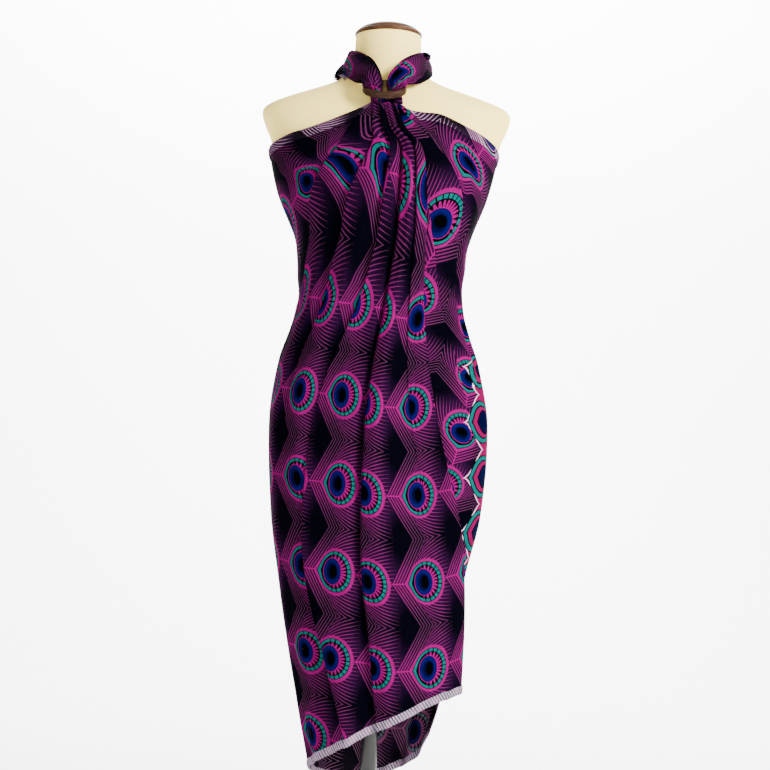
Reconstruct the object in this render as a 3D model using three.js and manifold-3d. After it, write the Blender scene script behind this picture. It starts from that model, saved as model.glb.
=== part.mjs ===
// A sarong worn as a halter dress on a dress form, in millimetres, +Z up.
// One rectangle of printed cloth goes round the body from the front, by the left side and the
// back, to the front again under itself. Both top corners pass up through a wooden buckle
// at the throat, go round the neck and are knotted at the nape.
// The viewer stands at -Y and sees +X on the right. The origin is on the floor, under the pole.

import * as THREE from 'three';
import Module from 'manifold-3d';
import { mergeVertices } from 'three/addons/utils/BufferGeometryUtils.js';

const wasm = await Module();
wasm.setup();

// ---------------------------------------------------------------- driving dimensions

const CLOTH = 1.6; // thickness of a wall of cloth
const GAP = 0.3; // clearance between pieces that touch
const HEM_WIDTH = 13; // the turned hem along the cloth's long sides
const HEM_CLOTH = 1.1; // thickness of a hem's turned layer
const LAYERS_APART = 4.5; // how far the cloth below the overlay lifts it
const LIFT_FADES = 24; // degrees over which the overlay settles beyond the cloth below it

const BASE = { radius: 215, thickness: 16, edge: 5 };
const POLE = { radius: 13, segments: 20 };
const FORM = { bottom: 800, shoulder: 1432, neckTop: 1515, segments: 32 };
const CAP = { radius: 53.5, thickness: 5, crown: 17, segments: 32 };

const THROAT_HEIGHT = 1389; // where the gathered cloth meets the buckle
const SIDE = 95; // degrees from the front centre to where front and back panels meet
const SEAM = 0.12; // degrees that each panel stops short of that place
const BUCKLE = {
  centre: [-3.6, -96.5, 1408.5],
  tilt: 38, // degrees that the near rim hangs below level
  width: 67,
  depth: 47,
  rim: 7,
  bar: 7,
  thickness: 4,
  bevel: 0.8,
};
const KNOT = { centre: [0, 73.6, 1480], halfWidth: 22, halfDepth: 13, halfHeight: 18 };

// ---------------------------------------------------------------- sections

// Horizontal sections of the dress form: half width, and depth to the front and to the back.
const FORM_SECTIONS = [
  { z: 800, half: 160, front: 96, back: 116 },
  { z: 870, half: 171.2, front: 104, back: 129 },
  { z: 945, half: 163, front: 106, back: 124 },
  { z: 993, half: 152, front: 106, back: 116 },
  { z: 1041, half: 134, front: 105, back: 102 },
  { z: 1089, half: 124, front: 107, back: 91 },
  { z: 1137, half: 126, front: 112, back: 88 },
  { z: 1185, half: 133, front: 120, back: 91 },
  { z: 1257, half: 161, front: 128, back: 99 },
  { z: 1300, half: 173, front: 118, back: 102 },
  { z: 1342, half: 183, front: 105, back: 104 },
  { z: 1366, half: 193, front: 93, back: 103 },
  { z: 1388, half: 198, front: 86, back: 99 },
  { z: 1399, half: 189, front: 82, back: 96 },
  { z: 1410, half: 163, front: 78, back: 92 },
  { z: 1421, half: 129, front: 73, back: 86 },
  { z: 1433, half: 93, front: 66, back: 78 },
  { z: 1447, half: 67.5, front: 60.5, back: 69 },
  { z: 1464, half: 56, front: 57, back: 61 },
  { z: 1515, half: 52, front: 52, back: 52 },
];

// Sections of the outer face of one layer of the wrapped cloth. right is for the overlay's end of
// the wrap, and underRight is where the layer below it, and the back, pass the right side.
const CLOTH_SECTIONS = [
  { z: 290, left: 80, right: 120, underRight: 66, front: 79, back: 72 },
  { z: 369, left: 96, right: 136, underRight: 86, front: 83, back: 78 },
  { z: 465, left: 117, right: 145, underRight: 114, front: 88, back: 88 },
  { z: 561, left: 137, right: 148, underRight: 131, front: 94, back: 100 },
  { z: 657, left: 154, right: 155, underRight: 146.5, front: 99, back: 113 },
  { z: 753, left: 167, right: 170, underRight: 168, front: 103, back: 125 },
  { z: 897, left: 174, right: 175, underRight: 175, front: 108, back: 133 },
  { z: 993, left: 161, right: 157, underRight: 157, front: 109, back: 120 },
  { z: 1041, left: 145, right: 141, underRight: 140, front: 109, back: 107 },
  { z: 1089, left: 133, right: 130, underRight: 128.5, front: 111, back: 96 },
  { z: 1137, left: 135, right: 133, underRight: 131, front: 115, back: 92 },
  { z: 1185, left: 140, right: 139, underRight: 138, front: 123, back: 94 },
  { z: 1257, left: 170, right: 166, underRight: 165, front: 132, back: 102 },
  { z: 1342, left: 190, right: 187, underRight: 186, front: 108, back: 107 },
  { z: 1372, left: 200, right: 198, underRight: 198, front: 96, back: 108 },
  { z: 1410, left: 206, right: 206, underRight: 206, front: 92, back: 107 },
];

// The overlay's free short edge: its distance to the right of the centre plane.
const FREE_EDGE = [
  { z: 475, x: 136 },
  { z: 577, x: 138 },
  { z: 650, x: 135 },
  { z: 737, x: 126 },
  { z: 831, x: 104 },
  { z: 915, x: 85 },
  { z: 1002, x: 70 },
  { z: 1091, x: 61 },
  { z: 1215, x: 62 },
  { z: 1302, x: 58 },
  { z: 1325, x: 51 },
  { z: 1346, x: 32 },
  { z: THROAT_HEIGHT, x: 14 },
];

// The hidden short edge, under the overlay: its angle from the front centre.
const HIDDEN_EDGE = [
  { z: 480, angle: -22 },
  { z: 890, angle: -16 },
  { z: 1257, angle: -8 },
  { z: THROAT_HEIGHT, angle: 1.5 },
];

// Height of the cloth's top edge, by angle to each side of the throat, and across the back.
const TOP_LEFT = [
  { angle: 6.5, z: THROAT_HEIGHT - 2 },
  { angle: 10, z: 1380 },
  { angle: 17, z: 1371 },
  { angle: 27, z: 1358 },
  { angle: 39, z: 1347 },
  { angle: 60, z: 1334 },
  { angle: 80, z: 1326 },
  { angle: SIDE, z: 1322 },
];
const TOP_RIGHT = [
  { angle: 7, z: THROAT_HEIGHT - 3 },
  { angle: 10.5, z: 1378 },
  { angle: 15.5, z: 1375.5 },
  { angle: 23, z: 1374.5 },
  { angle: 32, z: 1365.5 },
  { angle: 42, z: 1354.5 },
  { angle: 53, z: 1345 },
  { angle: 66, z: 1334.5 },
  { angle: 80, z: 1326.5 },
  { angle: SIDE, z: 1322 },
];
const TOP_BACK_SAG = 9;

// Height of the cloth's bottom edge, by the angle travelled back from the front centre:
// the overlay's corner is at the right front, and the wrap ends under it.
const BOTTOM = [
  { travelled: -60, z: 475 },
  { travelled: -40, z: 468 },
  { travelled: -12, z: 444 },
  { travelled: 12, z: 416 },
  { travelled: 45, z: 377 },
  { travelled: 90, z: 336 },
  { travelled: 140, z: 306 },
  { travelled: 175, z: 303 },
  { travelled: 205, z: 320 },
  { travelled: 235, z: 346 },
  { travelled: 250, z: 369 },
  { travelled: 270, z: 404 },
  { travelled: 290, z: 446 },
  { travelled: 320, z: 495 },
  { travelled: 385, z: 535 },
];

// ---------------------------------------------------------------- folds

// Heights at which each fold's row says where it runs and how far it stands out.
const LEVELS = { throat: 1389, bust: 1257, waist: 1100, hip: 890, knee: 650, hem: 420 };

// Folds of the front panel. at is the place across the panel, from 0 at the free edge to 1 at
// the left side; high is how far it stands out; near and far are its widths on the side of the
// free edge and on the other side, as shares of the panel.
const FRONT_FOLDS = [
  {
    name: 'edge roll',
    at: { throat: 0.02, bust: 0.03, waist: 0.03, hip: 0.03, knee: 0.02, hem: 0.02 },
    high: { throat: 1.5, bust: 6, waist: 6, hip: 4, knee: 2, hem: 2 },
    near: 0.03,
    far: 0.04,
  },
  {
    name: 'centre right ridge',
    at: { throat: 0.12, bust: 0.125, waist: 0.185, hip: 0.265, knee: 0.37, hem: 0.38 },
    high: { throat: 2, bust: 13, waist: 11, hip: 10, knee: 10, hem: 13 },
    near: 0.1,
    far: 0.035,
  },
  {
    name: 'centre left ridge',
    at: { throat: 0.22, bust: 0.24, waist: 0.29, hip: 0.365, knee: 0.49, hem: 0.54 },
    high: { throat: 2, bust: 9, waist: 8, hip: 5, knee: 7, hem: 11 },
    near: 0.03,
    far: 0.07,
  },
  {
    name: 'left chest fold',
    at: { throat: 0.31, bust: 0.38, waist: 0.5, hip: 0.6, knee: 0.68, hem: 0.72 },
    high: { throat: 1.5, bust: 9, waist: 9, hip: 4, knee: 4, hem: 7 },
    near: 0.04,
    far: 0.07,
  },
  {
    name: 'underbust fold',
    at: { throat: 0.37, bust: 0.53, waist: 0.65, hip: 0.75, knee: 0.82, hem: 0.87 },
    high: { throat: 1, bust: 5, waist: 8, hip: 4, knee: 2, hem: 5 },
    near: 0.045,
    far: 0.06,
  },
];

const UNDER_FOLDS = [
  {
    name: 'first pull',
    at: { throat: 0.3, bust: 0.5, waist: 0.6, hip: 0.66, knee: 0.7, hem: 0.7 },
    high: { throat: 0.5, bust: 3, waist: 3.5, hip: 1, knee: 0, hem: 0 },
    near: 0.05,
    far: 0.07,
  },
  {
    name: 'second pull',
    at: { throat: 0.34, bust: 0.68, waist: 0.78, hip: 0.82, knee: 0.85, hem: 0.85 },
    high: { throat: 0.5, bust: 3, waist: 4, hip: 1.5, knee: 0, hem: 0 },
    near: 0.05,
    far: 0.08,
  },
];

// Flutes of the back panel, from 0 at the left side to 1 at the right side.
const BACK_FOLDS = [
  { name: 'left flute', place: 0.2, high: { waist: 5, hip: 2, hem: 9 } },
  { name: 'left centre flute', place: 0.38, high: { waist: 7, hip: 3, hem: 12 } },
  { name: 'centre flute', place: 0.53, high: { waist: 9, hip: 3, hem: 10 } },
  { name: 'right centre flute', place: 0.68, high: { waist: 7, hip: 3, hem: 12 } },
  { name: 'right flute', place: 0.85, high: { waist: 5, hip: 2, hem: 6 } },
].map(({ name, place, high }) => ({
  name,
  at: { throat: place, bust: place, waist: place, hip: place, knee: place, hem: place },
  high: {
    throat: 0,
    bust: high.waist / 3,
    waist: high.waist,
    hip: high.hip,
    knee: high.hem * 0.6,
    hem: high.hem,
  },
  near: 0.05,
  far: 0.05,
}));

// Pleats pressed together at the throat, which fade out below it.
const PLEATS = { frontCount: 5, underCount: 3, height: 2.4, fadesAt: 1290 };

// ---------------------------------------------------------------- small mathematics

const radians = THREE.MathUtils.degToRad;
const clamp = THREE.MathUtils.clamp;
const mix = THREE.MathUtils.lerp;

/** A smooth curve through a table's rows, which ascend in the column input. */
function follow(rows, input, output) {
  const x = rows.map((row) => row[input]);
  const y = rows.map((row) => row[output]);
  const last = x.length - 1;
  const slope = (i) => {
    const before = Math.max(i - 1, 0);
    const after = Math.min(i + 1, last);
    return (y[after] - y[before]) / (x[after] - x[before]);
  };
  return (value) => {
    const v = clamp(value, x[0], x[last]);
    let i = 0;
    while (i < last - 1 && v > x[i + 1]) i += 1;
    const step = x[i + 1] - x[i];
    const t = (v - x[i]) / step;
    const a = y[i] * (1 + 2 * t) * (1 - t) ** 2 + y[i + 1] * t * t * (3 - 2 * t);
    return a + step * (slope(i) * t * (1 - t) ** 2 - slope(i + 1) * t * t * (1 - t));
  };
}

const smooth = (t) => {
  const c = clamp(t, 0, 1);
  return c * c * (3 - 2 * c);
};

/** A curve down a fold's row, by height. */
function byLevel(values) {
  const rows = Object.keys(LEVELS).map((name) => ({ z: LEVELS[name], value: values[name] }));
  return follow(rows.reverse(), 'z', 'value');
}

// ---------------------------------------------------------------- the wrap

const section = Object.fromEntries(
  ['left', 'right', 'underRight', 'front', 'back'].map((name) => [
    name,
    follow(CLOTH_SECTIONS, 'z', name),
  ]),
);
const freeEdgeX = follow(FREE_EDGE, 'z', 'x');
const hiddenEdgeAngle = follow(HIDDEN_EDGE, 'z', 'angle');
const topLeft = follow(TOP_LEFT, 'angle', 'z');
const topRight = follow(TOP_RIGHT, 'angle', 'z');
const bottomEdge = follow(BOTTOM, 'travelled', 'z');

const SQUARENESS = 0.035; // how far a section's shoulders stand outside an ellipse
const squared = (angle, share) => 1 + share * SQUARENESS * Math.sin(2 * angle) ** 2;

/**
 * A point of the wrap's outer face. travelled is the angle in degrees from the front centre,
 * towards the left side and on round the back, so that the overlay lies at small values and
 * the layer below it near 360. out moves the point along the section's outward direction.
 */
function wrapPoint(travelled, z, out) {
  const under = smooth((travelled - SIDE) / (360 - 2 * SIDE));
  const right = mix(section.right(z), section.underRight(z), under);
  const half = (section.left(z) + right) / 2;
  const middle = (right - section.left(z)) / 2;
  const angle = radians(-travelled);
  const depth = Math.cos(angle) > 0 ? section.front(z) : section.back(z);
  const x = half * Math.sin(angle);
  const y = -depth * Math.cos(angle);
  const normal = new THREE.Vector2(x / half ** 2, y / depth ** 2).normalize();
  const lifted = smooth(1 - (travelled + hiddenEdgeAngle(z)) / LIFT_FADES);
  const away = out + (travelled < SIDE ? LAYERS_APART * lifted : 0);
  const bulge = squared(angle, 1);
  return new THREE.Vector3(middle + x * bulge + normal.x * away, y * bulge + normal.y * away, z);
}

/** The free edge's angle, towards the right of the front centre, held below its corner. */
function freeEdgeAngle(height) {
  const z = Math.max(height, FREE_EDGE[0].z);
  const half = (section.left(z) + section.right(z)) / 2;
  const middle = (section.right(z) - section.left(z)) / 2;
  return THREE.MathUtils.radToDeg(Math.asin((freeEdgeX(z) - middle) / half));
}

/** How far a panel's folds stand out at the place s across it, at height z. */
function foldHeight(folds, s, z) {
  return folds.reduce((sum, fold) => {
    const away = s - fold.place(z);
    const width = away < 0 ? fold.near : fold.far;
    return sum + fold.rise(z) * Math.exp(-((away / width) ** 2));
  }, 0);
}

const prepared = (folds) =>
  folds.map((fold) => ({ ...fold, place: byLevel(fold.at), rise: byLevel(fold.high) }));
const frontFolds = prepared(FRONT_FOLDS);
const underFolds = prepared(UNDER_FOLDS);
const backFolds = prepared(BACK_FOLDS);

/** Pressed pleats near the throat, count of them between s = 0 and s = gathered. */
function pleatHeight(s, z, gathered, count) {
  const fade = smooth((z - PLEATS.fadesAt) / (THROAT_HEIGHT - PLEATS.fadesAt));
  const inside = 1 - smooth((s - gathered) / 0.08);
  const wave = 0.5 - 0.5 * Math.cos((2 * Math.PI * count * s) / gathered);
  return PLEATS.height * fade * inside * wave;
}

const FAN = 2.6; // how quickly the columns spread out below the throat

/** How much of the throat's gathering is left in a column at height z: 1 at the top, 0 below. */
const fanned = (top, bottom, z) => ((z - bottom) / (top - bottom)) ** FAN;

/**
 * The height of a panel's row. t runs from 0 to 1 between the hems; -1 is the top edge, and 2 is
 * the bottom edge.
 */
function rowHeight(top, bottom, t) {
  if (t < 0) return top - HEM_WIDTH * (1 + t);
  if (t > 1) return bottom + HEM_WIDTH * (2 - t);
  return mix(top - HEM_WIDTH, bottom + HEM_WIDTH, t);
}

/** Front panel: s from the free edge (0) to the left side (1), t by rowHeight. */
const FRONT_GATHERED = 0.38;
function frontPoint(s, t, out) {
  const topAngle =
    s < FRONT_GATHERED
      ? mix(freeEdgeAngle(THROAT_HEIGHT), -TOP_LEFT[0].angle, s / FRONT_GATHERED)
      : -mix(TOP_LEFT[0].angle, SIDE, (s - FRONT_GATHERED) / (1 - FRONT_GATHERED));
  const top = topLeft(-topAngle);
  const open = (z) => mix(freeEdgeAngle(z), SEAM - SIDE, s);
  const bottom = bottomEdge(-open(BOTTOM[0].z));
  const z = rowHeight(top, bottom, t);
  const angle = open(z) + (topAngle - open(top)) * fanned(top, bottom, z);
  const stands =
    foldHeight(frontFolds, s, z) + pleatHeight(s, z, FRONT_GATHERED, PLEATS.frontCount);
  const settled = smooth((1 - s) / 0.06); // the folds die out where the back panel begins
  return wrapPoint(-angle, z, stands * settled + out);
}

/** Under panel: s from the hidden edge (0) to the right side (1). */
const UNDER_GATHERED = 0.34;
function underPoint(s, t, out) {
  const hidden = HIDDEN_EDGE.at(-1).angle;
  const topAngle =
    s < UNDER_GATHERED
      ? mix(hidden, TOP_RIGHT[0].angle, s / UNDER_GATHERED)
      : mix(TOP_RIGHT[0].angle, SIDE, (s - UNDER_GATHERED) / (1 - UNDER_GATHERED));
  const top = topRight(topAngle);
  const open = (z) => mix(hiddenEdgeAngle(z), SIDE - SEAM, s);
  const bottom = bottomEdge(360 - open(HIDDEN_EDGE[0].z));
  const z = rowHeight(top, bottom, t);
  const angle = open(z) + (topAngle - open(top)) * fanned(top, bottom, z);
  const stands =
    foldHeight(underFolds, s, z) + pleatHeight(s, z, UNDER_GATHERED, PLEATS.underCount) / 2;
  const settled = smooth((1 - s) / 0.06);
  return wrapPoint(360 - angle, z, stands * settled + out);
}

/** Back panel: s from the left side (0) to the right side (1). */
function backPoint(s, t, out) {
  const travelled = mix(SIDE + SEAM, 360 - SIDE - SEAM, s);
  const top = topLeft(SIDE) - TOP_BACK_SAG * Math.sin(Math.PI * s);
  const z = rowHeight(top, bottomEdge(travelled), t);
  const settled = smooth(s / 0.06) * smooth((1 - s) / 0.06);
  return wrapPoint(travelled, z, foldHeight(backFolds, s, z) * settled + out);
}

// ---------------------------------------------------------------- solids from grids

const steps = (count, from = 0, to = 1) =>
  Array.from({ length: count + 1 }, (_, i) => mix(from, to, i / count));

/** A closed body between two grids of points with the same columns and rows. */
function wallBetween(outer, inner) {
  const columns = outer.length;
  const rows = outer[0].length;
  const points = [...outer.flat(), ...inner.flat()];
  const face = columns * rows;
  const at = (side, i, j) => side * face + i * rows + j;
  const triangles = [];
  const quad = (a, b, c, d) => triangles.push(a, b, c, a, c, d);
  for (let i = 0; i + 1 < columns; i += 1) {
    for (let j = 0; j + 1 < rows; j += 1) {
      quad(at(0, i, j), at(0, i, j + 1), at(0, i + 1, j + 1), at(0, i + 1, j));
      quad(at(1, i, j), at(1, i + 1, j), at(1, i + 1, j + 1), at(1, i, j + 1));
    }
    quad(at(0, i, 0), at(0, i + 1, 0), at(1, i + 1, 0), at(1, i, 0));
    quad(at(0, i, rows - 1), at(1, i, rows - 1), at(1, i + 1, rows - 1), at(0, i + 1, rows - 1));
  }
  for (let j = 0; j + 1 < rows; j += 1) {
    quad(at(0, 0, j), at(1, 0, j), at(1, 0, j + 1), at(0, 0, j + 1));
    const end = columns - 1;
    quad(at(0, end, j), at(0, end, j + 1), at(1, end, j + 1), at(1, end, j));
  }
  return facingOut(solidFrom(points, triangles));
}

/** A closed body through rings of points, with a fan of triangles over each end. */
function loft(rings) {
  const count = rings[0].length;
  const points = rings.flat();
  const triangles = [];
  rings.slice(1).forEach((_, r) => {
    for (let k = 0; k < count; k += 1) {
      const next = (k + 1) % count;
      const [a, b] = [r * count + k, r * count + next];
      triangles.push(a, b, b + count, a, b + count, a + count);
    }
  });
  [0, rings.length - 1].forEach((r) => {
    const centre = new THREE.Vector3();
    rings[r].forEach((point) => centre.addScaledVector(point, 1 / count));
    points.push(centre);
    for (let k = 0; k < count; k += 1) {
      const edge = [r * count + k, r * count + ((k + 1) % count)];
      triangles.push(points.length - 1, ...(r === 0 ? edge.reverse() : edge));
    }
  });
  return facingOut(solidFrom(points, triangles));
}

function solidFrom(points, triangles) {
  const geometry = new THREE.BufferGeometry();
  const numbers = points.flatMap((point) => point.toArray());
  geometry.setAttribute('position', new THREE.Float32BufferAttribute(numbers, 3));
  geometry.setIndex(triangles);
  return geometry;
}

/** Turns every triangle round if the body's volume comes out negative. */
function facingOut(geometry) {
  const p = geometry.getAttribute('position');
  const index = geometry.getIndex().array;
  const [a, b, c] = [new THREE.Vector3(), new THREE.Vector3(), new THREE.Vector3()];
  let volume = 0;
  for (let i = 0; i < index.length; i += 3) {
    a.fromBufferAttribute(p, index[i]);
    b.fromBufferAttribute(p, index[i + 1]);
    c.fromBufferAttribute(p, index[i + 2]);
    volume += a.dot(b.cross(c));
  }
  if (volume < 0) geometry.setIndex(Array.from(index).reverse());
  return geometry;
}

/** A wall of cloth whose outer face is surface(s, t), over the given columns and rows. */
function clothWall(surface, columns, rows, thickness = CLOTH, lift = 0) {
  const face = (out) => columns.map((s) => rows.map((t) => surface(s, t, out)));
  return wallBetween(face(lift + thickness), face(lift));
}

/** A turned hem: the panel's own points along one edge, moved out from it. */
function hemStrip(surface, columns, rows) {
  return clothWall(surface, columns, rows, HEM_CLOTH, GAP);
}

// ---------------------------------------------------------------- materials

const paint = (color, roughness, metalness = 0) =>
  new THREE.MeshStandardMaterial({ color, roughness, metalness });
const printedCloth = paint(0x5e1650, 0.75);
const turnedHem = paint(0xb58fae, 0.85);
const cream = paint(0xeadfc0, 0.8);
const darkWood = paint(0x4d3024, 0.5);
const capWood = paint(0x6b3a1f, 0.4);
const steel = paint(0x9a9c9a, 0.35, 0.9);

// ---------------------------------------------------------------- pieces of the dress form

function torso() {
  const at = Object.fromEntries(
    ['half', 'front', 'back'].map((name) => [name, follow(FORM_SECTIONS, 'z', name)]),
  );
  const heights = FORM_SECTIONS.flatMap(({ z }, i) =>
    i > 0 && z - FORM_SECTIONS[i - 1].z > 60 ? [(z + FORM_SECTIONS[i - 1].z) / 2, z] : [z],
  );
  const ring = (z) =>
    steps(FORM.segments, 0, 2 * Math.PI)
      .slice(0, -1)
      .map((angle) => {
        const depth = Math.cos(angle) > 0 ? at.front(z) : at.back(z);
        const bulge = squared(angle, smooth((FORM.shoulder - z) / 60));
        const [x, y] = [at.half(z) * Math.sin(angle), -depth * Math.cos(angle)];
        return new THREE.Vector3(x * bulge, y * bulge, z);
      });
  return loft(heights.map(ring));
}

/** A body of revolution about a vertical line, from radius and height pairs. */
function turned(profile, segments) {
  const outline = profile.map(([radius, height]) => new THREE.Vector2(radius, height));
  const geometry = new THREE.LatheGeometry(outline, segments);
  return geometry.rotateX(Math.PI / 2);
}

function neckCap() {
  const { radius, thickness, crown } = CAP;
  const dome = steps(6, 0.3, Math.PI / 2).map((angle) => [
    (radius - 1) * Math.cos(angle) ** 0.8,
    thickness + crown * Math.sin(angle) - crown * Math.sin(0.3),
  ]);
  const edge = [[0, 0], [radius - 1.5, 0], [radius, 1.5], [radius, thickness * 0.6]];
  return turned([...edge, ...dome.slice(0, -1), [0, dome.at(-1)[1]]], CAP.segments);
}

function pole() {
  const height = FORM.bottom - BASE.thickness - 2 * GAP;
  return turned([[0, 0], [POLE.radius, 0], [POLE.radius, height], [0, height]], POLE.segments);
}

function base() {
  const { radius, thickness, edge } = BASE;
  return turned(
    [[0, 0], [radius, 0], [radius, thickness - edge], [radius - edge, thickness], [0, thickness]],
    48,
  );
}

// ---------------------------------------------------------------- buckle

/** A flat oval of wood with two slots, one for each gathered corner of the cloth. */
function buckle() {
  const { width, depth, rim, bar, thickness, bevel } = BUCKLE;
  const outline = new THREE.Shape();
  outline.absellipse(0, 0, width / 2, depth / 2, 0, 2 * Math.PI);
  [-1, 1].forEach((side) => {
    const slot = new THREE.Path();
    const [halfWide, halfDeep] = [width / 2 - rim, depth / 2 - rim];
    const start = Math.asin(bar / 2 / halfWide);
    const end = Math.PI - start;
    steps(12, start, end).forEach((angle, i) => {
      const [x, y] = [side * halfWide * Math.sin(angle), halfDeep * Math.cos(angle)];
      if (i === 0) slot.moveTo(x, y);
      else slot.lineTo(x, y);
    });
    slot.closePath();
    outline.holes.push(slot);
  });
  const geometry = new THREE.ExtrudeGeometry(outline, {
    depth: thickness,
    bevelEnabled: true,
    bevelThickness: bevel,
    bevelSize: bevel,
    bevelOffset: -bevel,
    bevelSegments: 1,
    curveSegments: 16,
  });
  return geometry.translate(0, 0, -thickness / 2);
}

// ---------------------------------------------------------------- cloth above the buckle

// A gathered corner, from below the buckle, through a slot and round the neck to the nape.
// wide is half its width as a band, thick half its thickness. faces is the direction of its
// outer face, in degrees from the front; turn is 90 where the band runs up and 0 where it runs
// level; lean tilts its top edge out.
const ROUND_THE_NECK = [
  { at: [18.5, -101.5, 1420], wide: 10.5, thick: 8, faces: 6, turn: 72, lean: 0 },
  { at: [25, -93, 1430.5], wide: 15.5, thick: 7.5, faces: 22, turn: 46, lean: -8 },
  { at: [38, -76, 1442], wide: 21, thick: 6.5, faces: 42, turn: 24, lean: -22 },
  { at: [54, -52, 1455.5], wide: 21.5, thick: 5.5, faces: 62, turn: 8, lean: -24 },
  { at: [64, -19, 1466.5], wide: 19.5, thick: 4.8, faces: 82, turn: 0, lean: -18 },
  { at: [63, 14, 1474], wide: 17.5, thick: 4.8, faces: 102, turn: 0, lean: -12 },
  { at: [52, 44, 1478], wide: 15.5, thick: 5, faces: 132, turn: 0, lean: -5 },
  { at: [35, 61, 1480], wide: 13, thick: 5.2, faces: 160, turn: 0, lean: 0 },
  { at: [KNOT.halfWidth + GAP, 68, 1480], wide: 11, thick: 6, faces: 180, turn: 0, lean: 0 },
];
const level = { faces: 0, turn: 90, lean: 0 };
const STRANDS = {
  left: [
    { at: [8, -94.5, THROAT_HEIGHT - 1.4], wide: 14.5, thick: 4.2, ...level },
    { at: [12.5, -94, 1396.5], wide: 12, thick: 6, ...level },
    { at: [17.4, -94.6, 1404.5], wide: 9.6, thick: 8.2, ...level },
    { at: [18.2, -99, 1412], wide: 9.2, thick: 8.2, ...level },
    ...ROUND_THE_NECK,
  ],
  right: [
    { at: [17.5, -91.5, THROAT_HEIGHT - 1.4], wide: 7.5, thick: 3, ...level },
    { at: [14.5, -93, 1396.5], wide: 8.5, thick: 5.5, ...level },
    { at: [11.6, -94.6, 1404.5], wide: 9.4, thick: 8.2, ...level },
    { at: [11.2, -99, 1412], wide: 9.2, thick: 8.2, ...level },
    ...ROUND_THE_NECK.map(({ at: [x, y, z], ...row }, i) => ({
      at: [x - 7 * smooth((2 - i) / 2), y, z],
      ...row,
    })),
  ],
};

/** A bunched band of cloth with lengthwise pleats, through a table of stations. */
function strand(stations, side) {
  const pleats = 5;
  const around = 15;
  const path = new THREE.CatmullRomCurve3(
    stations.map(({ at: [x, y, z] }) => new THREE.Vector3(side * x, y, z)),
  );
  const rows = stations.map((station, i) => ({ i, ...station }));
  const at = Object.fromEntries(
    ['wide', 'thick', 'faces', 'turn', 'lean'].map((name) => [name, follow(rows, 'i', name)]),
  );
  const up = new THREE.Vector3(0, 0, 1);
  const rings = steps(Math.round((stations.length - 1) * 1.5)).map((u) => {
    const i = u * (stations.length - 1);
    const centre = path.getPoint(u);
    const [faces, turn, lean] = [at.faces(i), at.turn(i), at.lean(i)].map(radians);
    const outward = new THREE.Vector3(side * Math.sin(faces), -Math.cos(faces), 0);
    const onward = new THREE.Vector3(side * Math.cos(faces), Math.sin(faces), 0);
    const top = up.clone().multiplyScalar(Math.cos(turn)).addScaledVector(onward, -Math.sin(turn));
    const tall = top.clone().multiplyScalar(Math.cos(lean)).addScaledVector(outward, Math.sin(lean));
    const deep = outward.multiplyScalar(Math.cos(lean)).addScaledVector(top, -Math.sin(lean));
    return steps(around, 0, 2 * Math.PI)
      .slice(0, -1)
      .map((angle) => {
        const swell = 1 + 0.08 * Math.cos(pleats * angle);
        return centre
          .clone()
          .addScaledVector(tall, at.wide(i) * swell * Math.cos(angle))
          .addScaledVector(deep, at.thick(i) * swell * Math.sin(angle));
      });
  });
  return loft(rings);
}

/** The knot at the nape: a rounded lump with a waist where the corners cross. */
function knot() {
  const [cx, cy, cz] = KNOT.centre;
  const rings = steps(10, -1, 1).map((u) => {
    const lobe = 0.62 + 0.42 * Math.sin(Math.PI * Math.abs(u)) + 0.18 * (1 - Math.abs(u));
    return steps(14, 0, 2 * Math.PI)
      .slice(0, -1)
      .map((angle) => {
        const ridge = 1 + 0.06 * Math.cos(3 * angle + 4 * u);
        const y = cy + KNOT.halfDepth * lobe * ridge * Math.cos(angle);
        const z = cz + KNOT.halfHeight * lobe * ridge * Math.sin(angle);
        return new THREE.Vector3(cx + KNOT.halfWidth * u, y, z);
      });
  });
  return loft(rings);
}

// The loose ends beyond the knot: centre line and half width of each.
const TAIL_LEFT = [
  { at: [-22.4, 82.4, 1481], half: 6 },
  { at: [-43, 76, 1477], half: 10 },
  { at: [-65, 52, 1471], half: 12 },
  { at: [-76, 24, 1465], half: 12 },
  { at: [-80, 0, 1461], half: 11 },
  { at: [-79, -17, 1457], half: 9 },
];
const TAIL_RIGHT = [
  { at: [5, 82.6, 1461.3], half: 7 },
  { at: [9, 92, 1447], half: 11 },
  { at: [13, 98, 1429], half: 14 },
  { at: [16, 103, 1407], half: 17 },
  { at: [18, 108, 1383], half: 19 },
];
const RUFFLE = { height: 3, waves: 2 };

/** A loose end: a rippled wall along a line, spread across the direction called across. */
function tail(stations, across) {
  const path = new THREE.CatmullRomCurve3(stations.map(({ at }) => new THREE.Vector3(...at)));
  const half = follow(stations.map((row, i) => ({ ...row, i })), 'i', 'half');
  const sheet = (out) =>
    steps(8, -1, 1).map((v) =>
      steps(9).map((u) => {
        const along = path.getTangent(u);
        const wide = across.clone().addScaledVector(along, -along.dot(across)).normalize();
        const normal = new THREE.Vector3().crossVectors(along, wide).normalize();
        const wave = RUFFLE.height * u * Math.cos(RUFFLE.waves * Math.PI * v);
        return path
          .getPoint(u)
          .addScaledVector(wide, v * half(u * (stations.length - 1)))
          .addScaledVector(normal, wave + out);
      }),
    );
  return wallBetween(sheet(CLOTH), sheet(0));
}

// ---------------------------------------------------------------- assembly

const group = new THREE.Group();

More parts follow.
